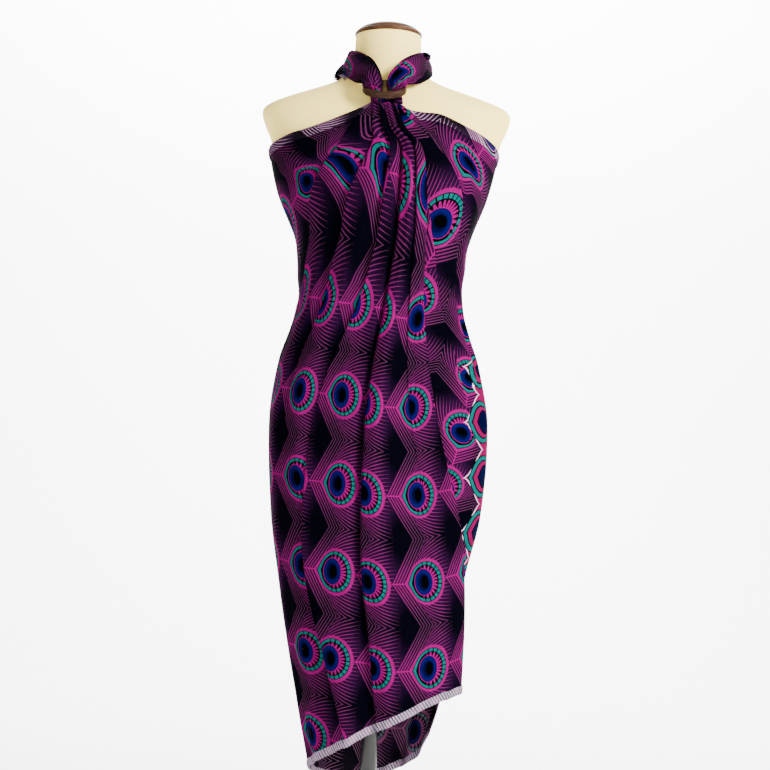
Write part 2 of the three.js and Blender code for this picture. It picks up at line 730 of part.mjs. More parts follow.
/** Merges a geometry's shared vertices, checks that it is one solid, and adds it to the group. */
function add(name, geometry, material, position = [0, 0, 0], tilt = 0) {
  ['normal', 'uv'].forEach((attribute) => geometry.deleteAttribute(attribute));
  const merged = mergeVertices(geometry, 1e-4);
  const solid = new wasm.Manifold(
    new wasm.Mesh({
      numProp: 3,
      vertProperties: new Float32Array(merged.getAttribute('position').array),
      triVerts: new Uint32Array(merged.getIndex().array),
    }),
  );
  if (solid.volume() <= 0) throw new Error(`${name} has no volume`);
  const mesh = new THREE.Mesh(merged, material);
  mesh.name = name;
  mesh.position.set(...position);
  mesh.rotation.x = radians(tilt);
  group.add(mesh);
}

/** Columns of a panel: some across its gathered part, and the others beyond it. */
const panelColumns = (gathered, inGather, beyond) => [
  ...steps(inGather, 0, gathered).slice(0, -1),
  ...steps(beyond, gathered, 1),
];
const frontColumns = panelColumns(FRONT_GATHERED, 18, 20);
const underColumns = panelColumns(UNDER_GATHERED, 9, 12);
const backColumns = steps(26);
const TOP_HEM = [-1, 0];
const BOTTOM_HEM = [1, 2];
/** Rows of a panel: its two hems' edges, and count steps between them, closer at the top. */
const panelRows = (count) => [-1, ...steps(count).map((t) => t ** 1.25), 2];

add('stand_base', base(), steel);
add('stand_pole', pole(), steel, [0, 0, BASE.thickness + GAP]);
add('form_torso', torso(), cream);
add('neck_cap', neckCap(), capWood, [0, 0, FORM.neckTop + GAP]);

const PANELS = {
  front: { surface: frontPoint, columns: frontColumns, rows: panelRows(19) },
  under: { surface: underPoint, columns: underColumns, rows: panelRows(19) },
  back: { surface: backPoint, columns: backColumns, rows: panelRows(19) },
};
Object.entries(PANELS).forEach(([name, { surface, columns, rows }]) => {
  add(`${name}_panel`, clothWall(surface, columns, rows, CLOTH, -CLOTH), printedCloth);
});

/** A hem over the columns of a panel from the place s on. */
function addHem(name, { surface, columns }, rows, from = 0) {
  const kept = columns.filter((s) => s >= from - 1e-6);
  add(name, hemStrip(surface, kept, rows), turnedHem);
}
addHem('top_hem_left', PANELS.front, TOP_HEM, FRONT_GATHERED);
addHem('top_hem_right', PANELS.under, TOP_HEM, UNDER_GATHERED);
addHem('top_hem_back', PANELS.back, TOP_HEM);
addHem('bottom_hem_front', PANELS.front, BOTTOM_HEM);
addHem('bottom_hem_back', PANELS.back, BOTTOM_HEM);

add('buckle', buckle(), darkWood, BUCKLE.centre, BUCKLE.tilt);
add('neck_strand_left', strand(STRANDS.left, -1), printedCloth);
add('neck_strand_right', strand(STRANDS.right, 1), printedCloth);
add('nape_knot', knot(), printedCloth);
add('tail_left', tail(TAIL_LEFT, new THREE.Vector3(0, 0, 1)), printedCloth);
add('tail_right', tail(TAIL_RIGHT, new THREE.Vector3(1, 0, 0)), printedCloth);

export default group;
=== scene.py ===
"""A printed sarong worn as a halter dress on a dress form: the looks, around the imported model.

The tables of places and heights are in millimetres, as the solids' tables are, and each surface
turns its points into metres. The print's sizes are in metres. The viewer stands at -Y and sees
+X on the right. A panel's angles are degrees from the front centre, positive on the right.
"""

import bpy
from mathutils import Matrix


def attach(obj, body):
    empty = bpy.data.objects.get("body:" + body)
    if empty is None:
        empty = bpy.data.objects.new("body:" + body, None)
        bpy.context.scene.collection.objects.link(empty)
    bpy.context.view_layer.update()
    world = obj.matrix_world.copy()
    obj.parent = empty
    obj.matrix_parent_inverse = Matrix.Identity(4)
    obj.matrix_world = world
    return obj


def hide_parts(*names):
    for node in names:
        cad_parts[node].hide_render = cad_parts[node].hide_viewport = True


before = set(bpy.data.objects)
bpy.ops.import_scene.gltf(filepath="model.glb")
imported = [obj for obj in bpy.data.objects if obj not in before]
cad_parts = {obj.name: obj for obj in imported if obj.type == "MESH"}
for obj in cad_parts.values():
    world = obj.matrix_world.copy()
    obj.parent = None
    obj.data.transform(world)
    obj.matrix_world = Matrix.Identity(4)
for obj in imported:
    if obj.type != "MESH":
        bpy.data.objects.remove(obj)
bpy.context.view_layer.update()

import math

import bpy
import numpy as np
from mathutils import Matrix, Vector

MM = 0.001

# ---------------------------------------------------------------- driving dimensions, millimetres

CLOTH = 0.55  # thickness of the cloth
SOLID_CLOTH = 1.6  # thickness of the solids' walls
GAP = 0.3  # clearance between pieces that touch
HEM_WIDTH = 13  # height of the turned hems
LAYERS_APART = 4.5  # how far the cloth below the overlay lifts it
LIFT_FADES = 24  # degrees over which the overlay settles beyond the cloth below it
SIDE = 95  # degrees from the front centre to where front and back panels meet
SEAM = 0.12  # degrees that each panel stops short of that place
THROAT = 1389  # height at which the gathered cloth meets the buckle
FORM = {"bottom": 800, "shoulder": 1432, "neck_top": 1515}  # heights on the dress form
SQUARENESS = 0.035  # how far sections bulge at their corners, beyond an ellipse


def table(columns, *rows):
    """A table's rows, each a dict with the named columns."""
    names = columns.split()
    return [dict(zip(names, row)) for row in rows]


# Sections of the dress form and of the wrap, by height: how far they reach from the pole's axis.
FORM_SECTIONS = table(
    "z half front back",
    (800, 160, 96, 116), (870, 171.2, 104, 129), (945, 163, 106, 124), (993, 152, 106, 116),
    (1041, 134, 105, 102), (1089, 124, 107, 91), (1137, 126, 112, 88), (1185, 133, 120, 91),
    (1257, 161, 128, 99), (1300, 173, 118, 102), (1342, 183, 105, 104), (1366, 193, 93, 103),
    (1388, 198, 86, 99), (1399, 189, 82, 96), (1410, 163, 78, 92), (1421, 129, 73, 86),
    (1433, 93, 66, 78), (1447, 67.5, 60.5, 69), (1464, 56, 57, 61), (1515, 52, 52, 52),
)
CLOTH_SECTIONS = table(
    "z left right under_right front back",
    (290, 80, 120, 66, 79, 72), (369, 96, 136, 86, 83, 78), (465, 117, 145, 114, 88, 88),
    (561, 137, 148, 131, 94, 100), (657, 154, 155, 146.5, 99, 113), (753, 167, 170, 168, 103, 125),
    (897, 174, 175, 175, 108, 133), (993, 161, 157, 157, 109, 120), (1041, 145, 141, 140, 109, 107),
    (1089, 133, 130, 128.5, 111, 96), (1137, 135, 133, 131, 115, 92),
    (1185, 140, 139, 138, 123, 94), (1257, 170, 166, 165, 132, 102),
    (1342, 190, 187, 186, 108, 107), (1372, 200, 198, 198, 96, 108),
    (1410, 206, 206, 206, 92, 107),
)
# The overlay's free edge, and the hidden edge of the layer behind it, by height.
FREE_EDGE = table(
    "z x",
    (475, 136), (577, 138), (650, 135), (737, 126), (831, 104), (915, 85), (1002, 70), (1091, 61),
    (1215, 62), (1302, 58), (1325, 51), (1346, 32), (THROAT, 14),
)
HIDDEN_EDGE = table("z angle", (480, -22), (890, -16), (1257, -8), (THROAT, 1.5))
# The top edge's height, by degrees out from the front centre to its own side.
TOP_LEFT = table(
    "angle z",
    (6.5, THROAT - 2), (10, 1380), (17, 1371), (27, 1358), (39, 1347), (60, 1334), (80, 1326),
    (SIDE, 1322),
)
TOP_RIGHT = table(
    "angle z",
    (7, THROAT - 3), (10.5, 1378), (15.5, 1375.5), (23, 1374.5), (32, 1365.5), (42, 1354.5),
    (53, 1345), (66, 1334.5), (80, 1326.5), (SIDE, 1322),
)
TOP_BACK_SAG = 9  # how far the back's top edge hangs down in its middle
# The bottom edge's height, by degrees that the cloth has gone round the body, by the left.
BOTTOM = table(
    "travelled z",
    (-60, 475), (-40, 468), (-12, 444), (12, 416), (45, 377), (90, 336), (140, 306), (175, 303),
    (205, 320), (235, 346), (250, 369), (270, 404), (290, 446), (320, 495), (385, 535),
)

# ---------------------------------------------------------------- small mathematics


def follow(rows, key, name):
    """A smooth curve through a table's rows, which ascend in the column key."""
    x = np.array([row[key] for row in rows], float)
    y = np.array([row[name] for row in rows], float)
    last = len(x) - 1
    before = np.maximum(np.arange(len(x)) - 1, 0)
    after = np.minimum(np.arange(len(x)) + 1, last)
    slope = (y[after] - y[before]) / (x[after] - x[before])

    def curve(value):
        v = np.clip(value, x[0], x[-1])
        i = np.clip(np.searchsorted(x, v) - 1, 0, last - 1)
        step = x[i + 1] - x[i]
        t = (v - x[i]) / step
        a = y[i] * (1 + 2 * t) * (1 - t) ** 2 + y[i + 1] * t * t * (3 - 2 * t)
        return a + step * (slope[i] * t * (1 - t) ** 2 - slope[i + 1] * t * t * (1 - t))

    return curve


def smooth(t):
    """From 0 at 0 to 1 at 1, level at both ends and beyond them."""
    c = np.clip(t, 0, 1)
    return c * c * (3 - 2 * c)


def rising(value, low, high):
    """From 0 at low to 1 at high, smoothly, and level beyond them."""
    return smooth((value - low) / (high - low))


def hump(value, middle, spread):
    """1 in the middle, and less the further from it."""
    return np.exp(-(((value - middle) / spread) ** 2))


def off_edges(s, first, last):
    """0 at a panel's two edges, and 1 from those shares of its width on."""
    return smooth(s / first) * smooth((1 - s) / last)


def mix(a, b, t):
    return a + (b - a) * t


# ---------------------------------------------------------------- the solids' folds

LEVELS = {"throat": THROAT, "bust": 1257, "waist": 1100, "hip": 890, "knee": 650, "hem": 420}


def at_levels(values):
    """A curve by height, through one value for each level."""
    rows = [{"z": z, "value": value} for z, value in zip(LEVELS.values(), values)]
    return follow(rows[::-1], "z", "value")


def fold(at, high, near, far):
    """A soft fold: where it runs and how far it stands out at each level, and its two widths.

    Places and widths are shares of a panel's width, from its edge to a side of the body."""
    return {"place": at_levels(at), "rise": at_levels(high), "near": near, "far": far}


FRONT_FOLDS = {
    "edge roll": fold((0.02, 0.03, 0.03, 0.03, 0.02, 0.02), (1.5, 6, 6, 4, 2, 2), 0.03, 0.04),
    "centre right ridge": fold(
        (0.12, 0.125, 0.185, 0.265, 0.37, 0.38), (2, 13, 11, 10, 10, 13), 0.1, 0.035
    ),
    "centre left ridge": fold(
        (0.22, 0.24, 0.29, 0.365, 0.49, 0.54), (2, 9, 8, 5, 7, 11), 0.03, 0.07
    ),
    "left chest fold": fold((0.31, 0.38, 0.5, 0.6, 0.68, 0.72), (1.5, 9, 9, 4, 4, 7), 0.04, 0.07),
    "underbust fold": fold((0.37, 0.53, 0.65, 0.75, 0.82, 0.87), (1, 5, 8, 4, 2, 5), 0.045, 0.06),
}
UNDER_FOLDS = {
    "first pull": fold((0.3, 0.5, 0.6, 0.66, 0.7, 0.7), (0.5, 3, 3.5, 1, 0, 0), 0.05, 0.07),
    "second pull": fold((0.34, 0.68, 0.78, 0.82, 0.85, 0.85), (0.5, 3, 4, 1.5, 0, 0), 0.05, 0.08),
}
BACK_FOLDS = {
    name: fold((place,) * 6, (0, waist / 3, waist, hip, hem * 0.6, hem), 0.05, 0.05)
    for name, place, waist, hip, hem in (
        ("left flute", 0.2, 5, 2, 9),
        ("left centre flute", 0.38, 7, 3, 12),
        ("centre flute", 0.53, 9, 3, 10),
        ("right centre flute", 0.68, 7, 3, 12),
        ("right flute", 0.85, 5, 2, 6),
    )
}
# The gathers' small pleats: millimetres, the height where they end, and how soon past the gathers.
PLEATS = {"height": 2.4, "fades_at": 1290, "settle": 0.08}
FOLDS_SETTLE = 0.06  # share of a panel over which its folds flatten towards a side of the body
FAN = 2.6  # the higher, the nearer the throat the cloth fans in to its gathers
FRONT_GATHERED = 0.38  # share of the overlay's width that is gathered
UNDER_GATHERED = 0.34  # share of the lower layer's width that is gathered

# ---------------------------------------------------------------- the wrap

section = {
    name: follow(CLOTH_SECTIONS, "z", name)
    for name in ("left", "right", "under_right", "front", "back")
}
free_edge_x = follow(FREE_EDGE, "z", "x")
hidden_edge_angle = follow(HIDDEN_EDGE, "z", "angle")
top_left = follow(TOP_LEFT, "angle", "z")
top_right = follow(TOP_RIGHT, "angle", "z")
bottom_edge = follow(BOTTOM, "travelled", "z")


def squared(angle, share):
    """How far a section bulges beyond an ellipse at an angle in radians."""
    return 1 + share * SQUARENESS * np.sin(2 * angle) ** 2


def wrap_point(travelled, z, out):
    """A point of the wrap's outer face, in metres, moved out by a number of millimetres."""
    travelled, z, out = np.broadcast_arrays(travelled, z, out)
    under = smooth((travelled - SIDE) / (360 - 2 * SIDE))
    left = section["left"](z)
    right = mix(section["right"](z), section["under_right"](z), under)
    half, middle = (left + right) / 2, (right - left) / 2
    angle = np.radians(-travelled)
    depth = np.where(np.cos(angle) > 0, section["front"](z), section["back"](z))
    x, y = half * np.sin(angle), -depth * np.cos(angle)
    normal = np.stack([x / half**2, y / depth**2])
    normal = normal / np.linalg.norm(normal, axis=0)
    lifted = smooth(1 - (travelled + hidden_edge_angle(z)) / LIFT_FADES)
    away = out + np.where(travelled < SIDE, LAYERS_APART * lifted, 0)
    bulge = squared(angle, 1)
    points = [middle + x * bulge + normal[0] * away, y * bulge + normal[1] * away, z]
    return np.stack(points, -1) * MM


def free_edge_angle(height):
    """The angle at which the overlay's free edge lies, which the photo gives by its x."""
    z = np.maximum(height, FREE_EDGE[0]["z"])
    half = (section["left"](z) + section["right"](z)) / 2
    middle = (section["right"](z) - section["left"](z)) / 2
    return np.degrees(np.arcsin((free_edge_x(z) - middle) / half))


def fold_height(folds, s, z):
    """How far the folds stand out at the place s across a panel and the height z."""
    total = 0
    for f in folds.values():
        away = s - f["place"](z)
        width = np.where(away < 0, f["near"], f["far"])
        total = total + f["rise"](z) * np.exp(-((away / width) ** 2))
    return total


def pleat_height(s, z, gathered, count):
    """Small even pleats in a panel's gathers, which fade on the way down."""
    fade = rising(z, PLEATS["fades_at"], THROAT)
    within = 1 - smooth((s - gathered) / PLEATS["settle"])
    wave = 0.5 - 0.5 * np.cos(2 * math.pi * count * s / gathered)
    return PLEATS["height"] * fade * within * wave


def row_height(top, bottom, t):
    """t runs from 0 to 1 between the hems; -1 is the top edge, and 2 is the bottom edge."""
    between = mix(top - HEM_WIDTH, bottom + HEM_WIDTH, t)
    above = np.where(t < 0, top - HEM_WIDTH * (1 + t), between)
    return np.where(t > 1, bottom + HEM_WIDTH * (2 - t), above)


class GatheredPanel:
    """A panel gathered at the throat: s from its edge (0) to a side of the body (1).

    It goes to the left where side is -1. turned is how far the cloth has gone round the body, in
    degrees, where it crosses the front centre. edge gives its edge's angle by height, and top the
    height of its top edge by angle, from the angle first on. hem_level is the height at which the
    bottom edge is read. pleats is how many there are, and what share of their full height."""

    def __init__(self, side, turned, edge, top, first, hem_level, gathered, folds, pleats):
        self.side, self.turned, self.edge, self.hem_level = side, turned, edge, hem_level
        self.top, self.first, self.gathered = top, first, gathered
        self.folds, self.pleats = folds, pleats

    def open(self, s, z):
        """The angle of a place where nothing gathers the cloth."""
        return mix(self.edge(z), self.side * (SIDE - SEAM), s)

    def edges(self, s):
        """The angle and height of the top edge, and the height of the bottom edge."""
        spread = (s - self.gathered) / (1 - self.gathered)
        within = mix(self.edge(THROAT), self.side * self.first, s / self.gathered)
        angle = np.where(s < self.gathered, within, self.side * mix(self.first, SIDE, spread))
        travelled = self.turned - self.open(s, self.hem_level)
        return angle, self.top(self.side * angle), bottom_edge(travelled)

    def height(self, s, t):
        _, top, bottom = self.edges(s)
        return row_height(top, bottom, t)

    def point(self, s, z, out):
        top_angle, top, bottom = self.edges(s)
        fanned = np.clip((z - bottom) / (top - bottom), 0, None) ** FAN
        angle = self.open(s, z) + (top_angle - self.open(s, top)) * fanned
        count, share = self.pleats
        stands = fold_height(self.folds, s, z) + pleat_height(s, z, self.gathered, count) * share
        return wrap_point(self.turned - angle, z, stands * smooth((1 - s) / FOLDS_SETTLE) + out)


class BackPanel:
    """The back: s from the left side (0) to the right side (1)."""

    def travelled(self, s):
        return mix(SIDE + SEAM, 360 - SIDE - SEAM, s)

    def height(self, s, t):
        top = top_left(SIDE) - TOP_BACK_SAG * np.sin(math.pi * s)
        return row_height(top, bottom_edge(self.travelled(s)), t)

    def point(self, s, z, out):
        stands = fold_height(BACK_FOLDS, s, z) * off_edges(s, FOLDS_SETTLE, FOLDS_SETTLE)
        return wrap_point(self.travelled(s), z, stands + out)


# The overlay in front, and the layer below it on the right.
FRONT = GatheredPanel(
    side=-1, turned=0, edge=free_edge_angle, top=top_left, first=TOP_LEFT[0]["angle"],
    hem_level=BOTTOM[0]["z"], gathered=FRONT_GATHERED, folds=FRONT_FOLDS, pleats=(5, 1.0),
)
UNDER = GatheredPanel(
    side=1, turned=360, edge=hidden_edge_angle, top=top_right, first=TOP_RIGHT[0]["angle"],
    hem_level=HIDDEN_EDGE[0]["z"], gathered=UNDER_GATHERED, folds=UNDER_FOLDS, pleats=(3, 0.5),
)


# ---------------------------------------------------------------- tucks, finer than the solids

ACROSS = 400  # millimetres round the body that a panel's s goes over, about
FEWEST = 6  # columns at least between two tucks
CROWDED = 0.45  # how far a panel's columns crowd towards its tucks
LIP_WIDTH = 27  # how far back from its edge a lip rises
LIP_STARTS = 0.35  # share of the cloth between two tucks over which a lip starts to rise
SETTLING = 6  # rounds that find a point's place and height, since each moves the other


def tuck(at, high, deep):
    """A sharp fold whose right side laps over its left: its place, its height, and the cloth in it."""
    return {"place": at_levels(at), "high": at_levels(high), "deep": at_levels(deep)}


FRONT_TUCKS = [
    tuck((0.055, 0.085, 0.1, 0.12, 0.13, 0.13), (2, 6, 4, 1, 0.3, 0.3), (25, 18, 8, 3, 0, 0)),
    tuck((0.17, 0.18, 0.235, 0.31, 0.425, 0.43), (3, 10, 12, 12, 9, 6), (25, 30, 30, 25, 15, 8)),
    tuck((0.24, 0.3, 0.4, 0.54, 0.64, 0.56), (2, 7, 5, 1.5, 7, 8), (20, 25, 15, 4, 25, 35)),
    tuck((0.33, 0.45, 0.575, 0.68, 0.76, 0.8), (2, 6, 5, 0.8, 0.5, 1), (15, 20, 12, 0, 0, 0)),
    tuck((0.375, 0.6, 0.74, 0.83, 0.89, 0.93), (1.5, 4, 5, 0.8, 0.5, 1), (10, 12, 10, 0, 0, 0)),
]
UNDER_TUCKS = [
    tuck((0.22, 0.42, 0.55, 0.62, 0.66, 0.68), (1, 4, 4, 0.6, 0.3, 0.3), (15, 10, 6, 0, 0, 0)),
    tuck((0.31, 0.6, 0.7, 0.76, 0.8, 0.8), (1, 3, 4, 0.8, 0.3, 0.3), (10, 8, 6, 0, 0, 0)),
]
# A tuck's lip, across: how far it goes over the valley and how high it is, as shares of the
# tuck's height, and whether it is out of sight there.
LIP = table(
    "over lift hidden",
    (0.2, 0.94, 0), (0.36, 0.74, 0), (0.4, 0.54, 0), (0.28, 0.4, 1), (0, 0.32, 1),
    (-0.3, 0.24, 1), (-0.34, 0.12, 1),
)


def columns_between(tucks, finest):
    """The columns of a panel: between which marks, how far across, and where on a tuck's lip."""
    marks = [0.0, *(float(tuck["place"](LEVELS["waist"])) for tuck in tucks), 1.0]
    columns = []
    for k, (start, end) in enumerate(zip(marks, marks[1:])):
        count = max(FEWEST, round((end - start) * ACROSS / finest))
        for i in range(count + 1):
            f = i / count
            eased = mix(f, 0.5 - 0.5 * math.cos(math.pi * f), CROWDED)
            columns.append({"left": k, "f": eased, "over": 0, "lift": 0, "hidden": 0, "lip": None})
        if k < len(tucks):
            columns += [{"left": k, "f": 1.0, "lip": k, **row} for row in LIP]
    return columns


class Sheet:
    """A panel's fine surface: its columns follow its tucks down the cloth."""

    def __init__(self, panel, tucks, columns, wrinkle):
        self.panel, self.tucks, self.columns, self.wrinkle = panel, tucks, columns, wrinkle

    def mark(self, k, z):
        """The k-th line down the panel: its first edge, then its tucks, then its last edge."""
        if k == 0:
            return np.zeros_like(z)
        return np.ones_like(z) if k > len(self.tucks) else self.tucks[k - 1]["place"](z)

    def across(self, column, z):
        """Where a column runs at a height."""
        a, b = self.mark(column["left"], z), self.mark(column["left"] + 1, z)
        s = mix(a, b, column["f"])
        if column["lip"] is not None:
            s = s + column["over"] * self.tucks[column["lip"]]["high"](z) / ACROSS
        return s

    def lift(self, column, s, z):
        """How far a tuck lifts a column, in millimetres."""
        if column["lip"] is not None:
            return column["lift"] * self.tucks[column["lip"]]["high"](z)
        if column["left"] == len(self.tucks):
            return np.zeros_like(z)
        away = (self.mark(column["left"] + 1, z) - s) * ACROSS / LIP_WIDTH
        start = smooth(column["f"] / LIP_STARTS)
        return start * self.tucks[column["left"]]["high"](z) * np.exp(-(away**2))

    def grid(self, rows, out=0.0, columns=None):
        """Points in metres, and each point's s and height, by column and row."""
        places, heights, points = [], [], []
        rows = np.asarray(rows, float)
        extra = np.broadcast_to(out, rows.shape)
        for column in columns or self.columns:
            guess = np.full_like(rows, column["f"] * 0.5 + 0.25)
            z = self.panel.height(guess, rows)
            for _ in range(SETTLING):
                s = self.across(column, z)
                z = self.panel.height(s, rows)
            lift = self.lift(column, s, z) + self.wrinkle(s, z)
            points.append(self.panel.point(s, z, lift + extra))
            places.append(s)
            heights.append(z)
        return np.array(points), np.array(places), np.array(heights)

    def run(self, points, heights):
        """The cloth's length across, in metres, from the first column to each point."""
        step = np.linalg.norm(np.diff(points[..., :2], axis=0), axis=-1)
        hidden = np.zeros_like(step)
        for i, column in enumerate(self.columns[1:]):
            if column["hidden"] and not self.columns[i]["hidden"]:
                hidden[i] = self.tucks[column["lip"]]["deep"](heights[i + 1]) * MM
        zero = np.zeros((1, points.shape[1]))
        return np.concatenate([zero, np.cumsum(step + hidden, axis=0)])


def waist_pulls(s, z, middle, spread, turns, lean, high):
    """Short slanting ripples round the waist."""
    return hump(z, middle, spread) * (0.5 + 0.5 * np.sin(turns * z + lean * s)) * high


def front_wrinkle(s, z):
    """Slight unevenness: long shallow ripples that lean with the cloth, and pulls at the waist."""
    long = np.sin(26 * s + 0.011 * z) * np.sin(0.017 * z + 9 * s) * 0.5
    waist = waist_pulls(s, z, 1105, 70, 0.13, 14, 1.2)
    return off_edges(s, 0.05, 0.08) * (0.5 + long + waist * smooth((s - 0.45) / 0.3))


def under_wrinkle(s, z):
    return off_edges(s, 0.05, 0.08) * waist_pulls(s, z, 1120, 80, 0.12, -11, 1.3)


def back_wrinkle(s, z):
    return off_edges(s, 0.08, 0.08) * waist_pulls(s, z, 1110, 75, 0.11, 8, 1.4)


# ---------------------------------------------------------------- meshes from grids

PRINT_MAP = "PrintMetres"  # the feathers' coordinates
PETAL_MAP = "PetalMetres"  # in from the line where the petals begin, and up


def quads(columns, rows, start, turned=False):
    """Faces of a grid whose points are stored column by column, from the index start."""
    i, j = np.meshgrid(np.arange(columns - 1), np.arange(rows - 1), indexing="ij")
    a = start + (i * rows + j).ravel()
    faces = np.stack([a, a + rows, a + rows + 1, a + 1], -1)
    return faces[:, ::-1] if turned else faces


def signed_volume(points, faces):
    """Six times the volume inside quads, and below 0 where they point in."""
    a, b, c, d = (points[faces[:, k]] for k in range(4))
    return float(np.einsum("ij,ij->", a, np.cross(b, c)) + np.einsum("ij,ij->", a, np.cross(c, d)))


def placed(name, data):
    """A new object, in the scene."""
    thing = bpy.data.objects.new(name, data)
    bpy.context.scene.collection.objects.link(thing)
    return thing


def finished(name, mesh, maps, materials, sharp):
    """A smooth object on the root body, with its maps, materials and sharp edges."""
    mesh.polygons.foreach_set("use_smooth", [True] * len(mesh.polygons))
    corners = np.zeros(len(mesh.loops), np.int32)
    mesh.loops.foreach_get("vertex_index", corners)
    for label, uv in maps.items():
        layer = mesh.uv_layers.new(name=label)
        layer.data.foreach_set("uv", uv[corners].astype(np.float32).ravel())
    mesh.set_sharp_from_angle(angle=math.radians(sharp))
    for material in materials:
        mesh.materials.append(material)
    piece = placed(name, mesh)
    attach(piece, "root")
    return piece


def stands_for(piece, node):
    """The piece takes the place of a solid, whose part is hidden."""
    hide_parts(node)
    return piece


def shell(name, outer, inner, maps, materials, sharp=60):
    """A thin closed wall between two grids: its outer face, its inner face, and its rim."""
    columns, rows = outer.shape[:2]
    count = columns * rows
    points = np.concatenate([outer.reshape(-1, 3), inner.reshape(-1, 3)])
    front, back = quads(columns, rows, 0), quads(columns, rows, count, turned=True)
    first = np.arange(columns) * rows
    last = first + rows - 1
    down, up = np.arange(rows), (columns - 1) * rows + np.arange(rows)

    def rim(line, turned):
        a, b = line[:-1], line[1:]
        strip = np.stack([a, b, b + count, a + count], -1)
        return strip[:, ::-1] if turned else strip

    edges = np.concatenate([rim(first, True), rim(last, False), rim(down, False), rim(up, True)])
    faces = np.concatenate([front, back, edges])
    if signed_volume(points, faces) < 0:
        faces = faces[:, ::-1]
    slots = np.concatenate([np.zeros(len(front)), np.ones(len(back)), np.ones(len(edges))])
    doubled = {label: np.tile(uv.reshape(-1, 2), (2, 1)) for label, uv in maps.items()}
    mesh = bpy.data.meshes.new(name)
    mesh.from_pydata(points.tolist(), [], faces.tolist())
    mesh.polygons.foreach_set("material_index", slots.astype(np.int32))
    return finished(name, mesh, doubled, materials, sharp)


def turned_piece(name, profile, material, segments):
    """A body of revolution about the vertical axis, from radius and height pairs in metres."""
    angles = np.linspace(0, 2 * math.pi, segments, endpoint=False)
    rings = [np.stack([r * np.cos(angles), r * np.sin(angles), 0 * angles + z], -1) for r, z in profile]
    return solid_of_rings(name, np.array(rings), material)


def with_centres(values):
    """Values at rings of points, and after them their means over the first and the last ring."""
    flat = values.reshape(-1, values.shape[-1])
    return np.concatenate([flat, values[0].mean(0)[None], values[-1].mean(0)[None]])


def solid_of_rings(name, rings, material, maps=None, sharp=50):
    """A closed body through rings of points, capped at each end."""
    count, around = rings.shape[:2]
    here = np.arange(around)
    following = (here + 1) % around
    band = np.stack([here, following, following + around, here + around], -1)
    faces = [face for r in range(count - 1) for face in (band + r * around).tolist()]
    last, low, high = (count - 1) * around, count * around, count * around + 1
    pairs = band[:, :2].tolist()
    faces += [(low, b, a) for a, b in pairs] + [(high, last + a, last + b) for a, b in pairs]
    points = with_centres(rings)
    mesh = bpy.data.meshes.new(name)
    mesh.from_pydata(points.tolist(), [], faces)
    as_quads = np.array([(*face, face[-1])[:4] for face in faces])  # a triangle's last corner twice
    if signed_volume(points, as_quads) < 0:
        mesh.flip_normals()
    maps = {label: with_centres(uv) for label, uv in (maps or {}).items()}
    return finished(name, mesh, maps, [material], sharp)


# ---------------------------------------------------------------- fields: numbers over a surface


def math_node(tree, operation, *values):
    """A math node over fields and plain numbers."""
    node = tree.nodes.new("ShaderNodeMath")
    node.operation = operation
    for socket, value in zip(node.inputs, values):
        put(tree, socket, value)
    return Field(tree, node.outputs[0])


def operator(operation):
    return lambda field, other: math_node(field.tree, operation, field, other)


class Field:
    """A number at each point of a surface, worked out by a material's math nodes."""

    def __init__(self, tree, socket):
        self.tree, self.socket = tree, socket

    def math(self, operation, *others):
        return math_node(self.tree, operation, self, *others)

    __add__ = __radd__ = operator("ADD")
    __sub__ = operator("SUBTRACT")
    __mul__ = __rmul__ = operator("MULTIPLY")
    __truediv__ = operator("DIVIDE")
    __lt__ = operator("LESS_THAN")
    __gt__ = operator("GREATER_THAN")

    def __rsub__(self, value):
        return math_node(self.tree, "SUBTRACT", value, self)

    def ramp(self, low, high, start=0.0, end=1.0):
        """From start at low to end at high, smoothly, and level beyond them."""
        node = self.tree.nodes.new("ShaderNodeMapRange")
        node.interpolation_type = "SMOOTHSTEP"
        names = ("Value", "From Min", "From Max", "To Min", "To Max")
        for name, value in zip(names, (self, low, high, start, end)):
            put(self.tree, node.inputs[name], value)
        return Field(self.tree, node.outputs["Result"])

    def choose(self, other, where):
        """This field, or the other one where the third is 1."""
        return self + (other - self) * where


class Paint:
    """A colour over a surface, painted layer by layer."""

    def __init__(self, tree, colour):
        self.tree, self.colour = tree, colour

    def over(self, colour, where):
        """Lays a colour, or another paint, where the field is 1."""
        node = self.tree.nodes.new("ShaderNodeMix")
        node.data_type = "RGBA"
        put(self.tree, node.inputs[0], where)
        put(self.tree, node.inputs[6], self.colour)
        put(self.tree, node.inputs[7], colour.colour if isinstance(colour, Paint) else colour)
        return Paint(self.tree, node.outputs[2])


def put(tree, socket, value):
    """Links a field or a socket to a socket, or sets its value."""
    if isinstance(value, Field):
        tree.links.new(value.socket, socket)
    elif isinstance(value, bpy.types.NodeSocket):
        tree.links.new(value, socket)
    elif isinstance(value, (int, float)):
        socket.default_value = value
    else:
        socket.default_value = (*value, 1.0)


def new_material(name, **settings):
    """A material with one Principled shader, whose sockets take the settings."""
    material = bpy.data.materials.new(name)
    material.use_nodes = True
    shader = material.node_tree.nodes["Principled BSDF"]
    for socket, value in settings.items():
        put(material.node_tree, shader.inputs[socket.replace("_", " ")], value)
    return material, material.node_tree, shader


def uv_fields(tree, name):
    """The two coordinates of one of the cloth's maps."""
    node = tree.nodes.new("ShaderNodeUVMap")
    node.uv_map = name
    split = tree.nodes.new("ShaderNodeSeparateXYZ")
    tree.links.new(node.outputs["UV"], split.inputs[0])
    return Field(tree, split.outputs[0]), Field(tree, split.outputs[1])


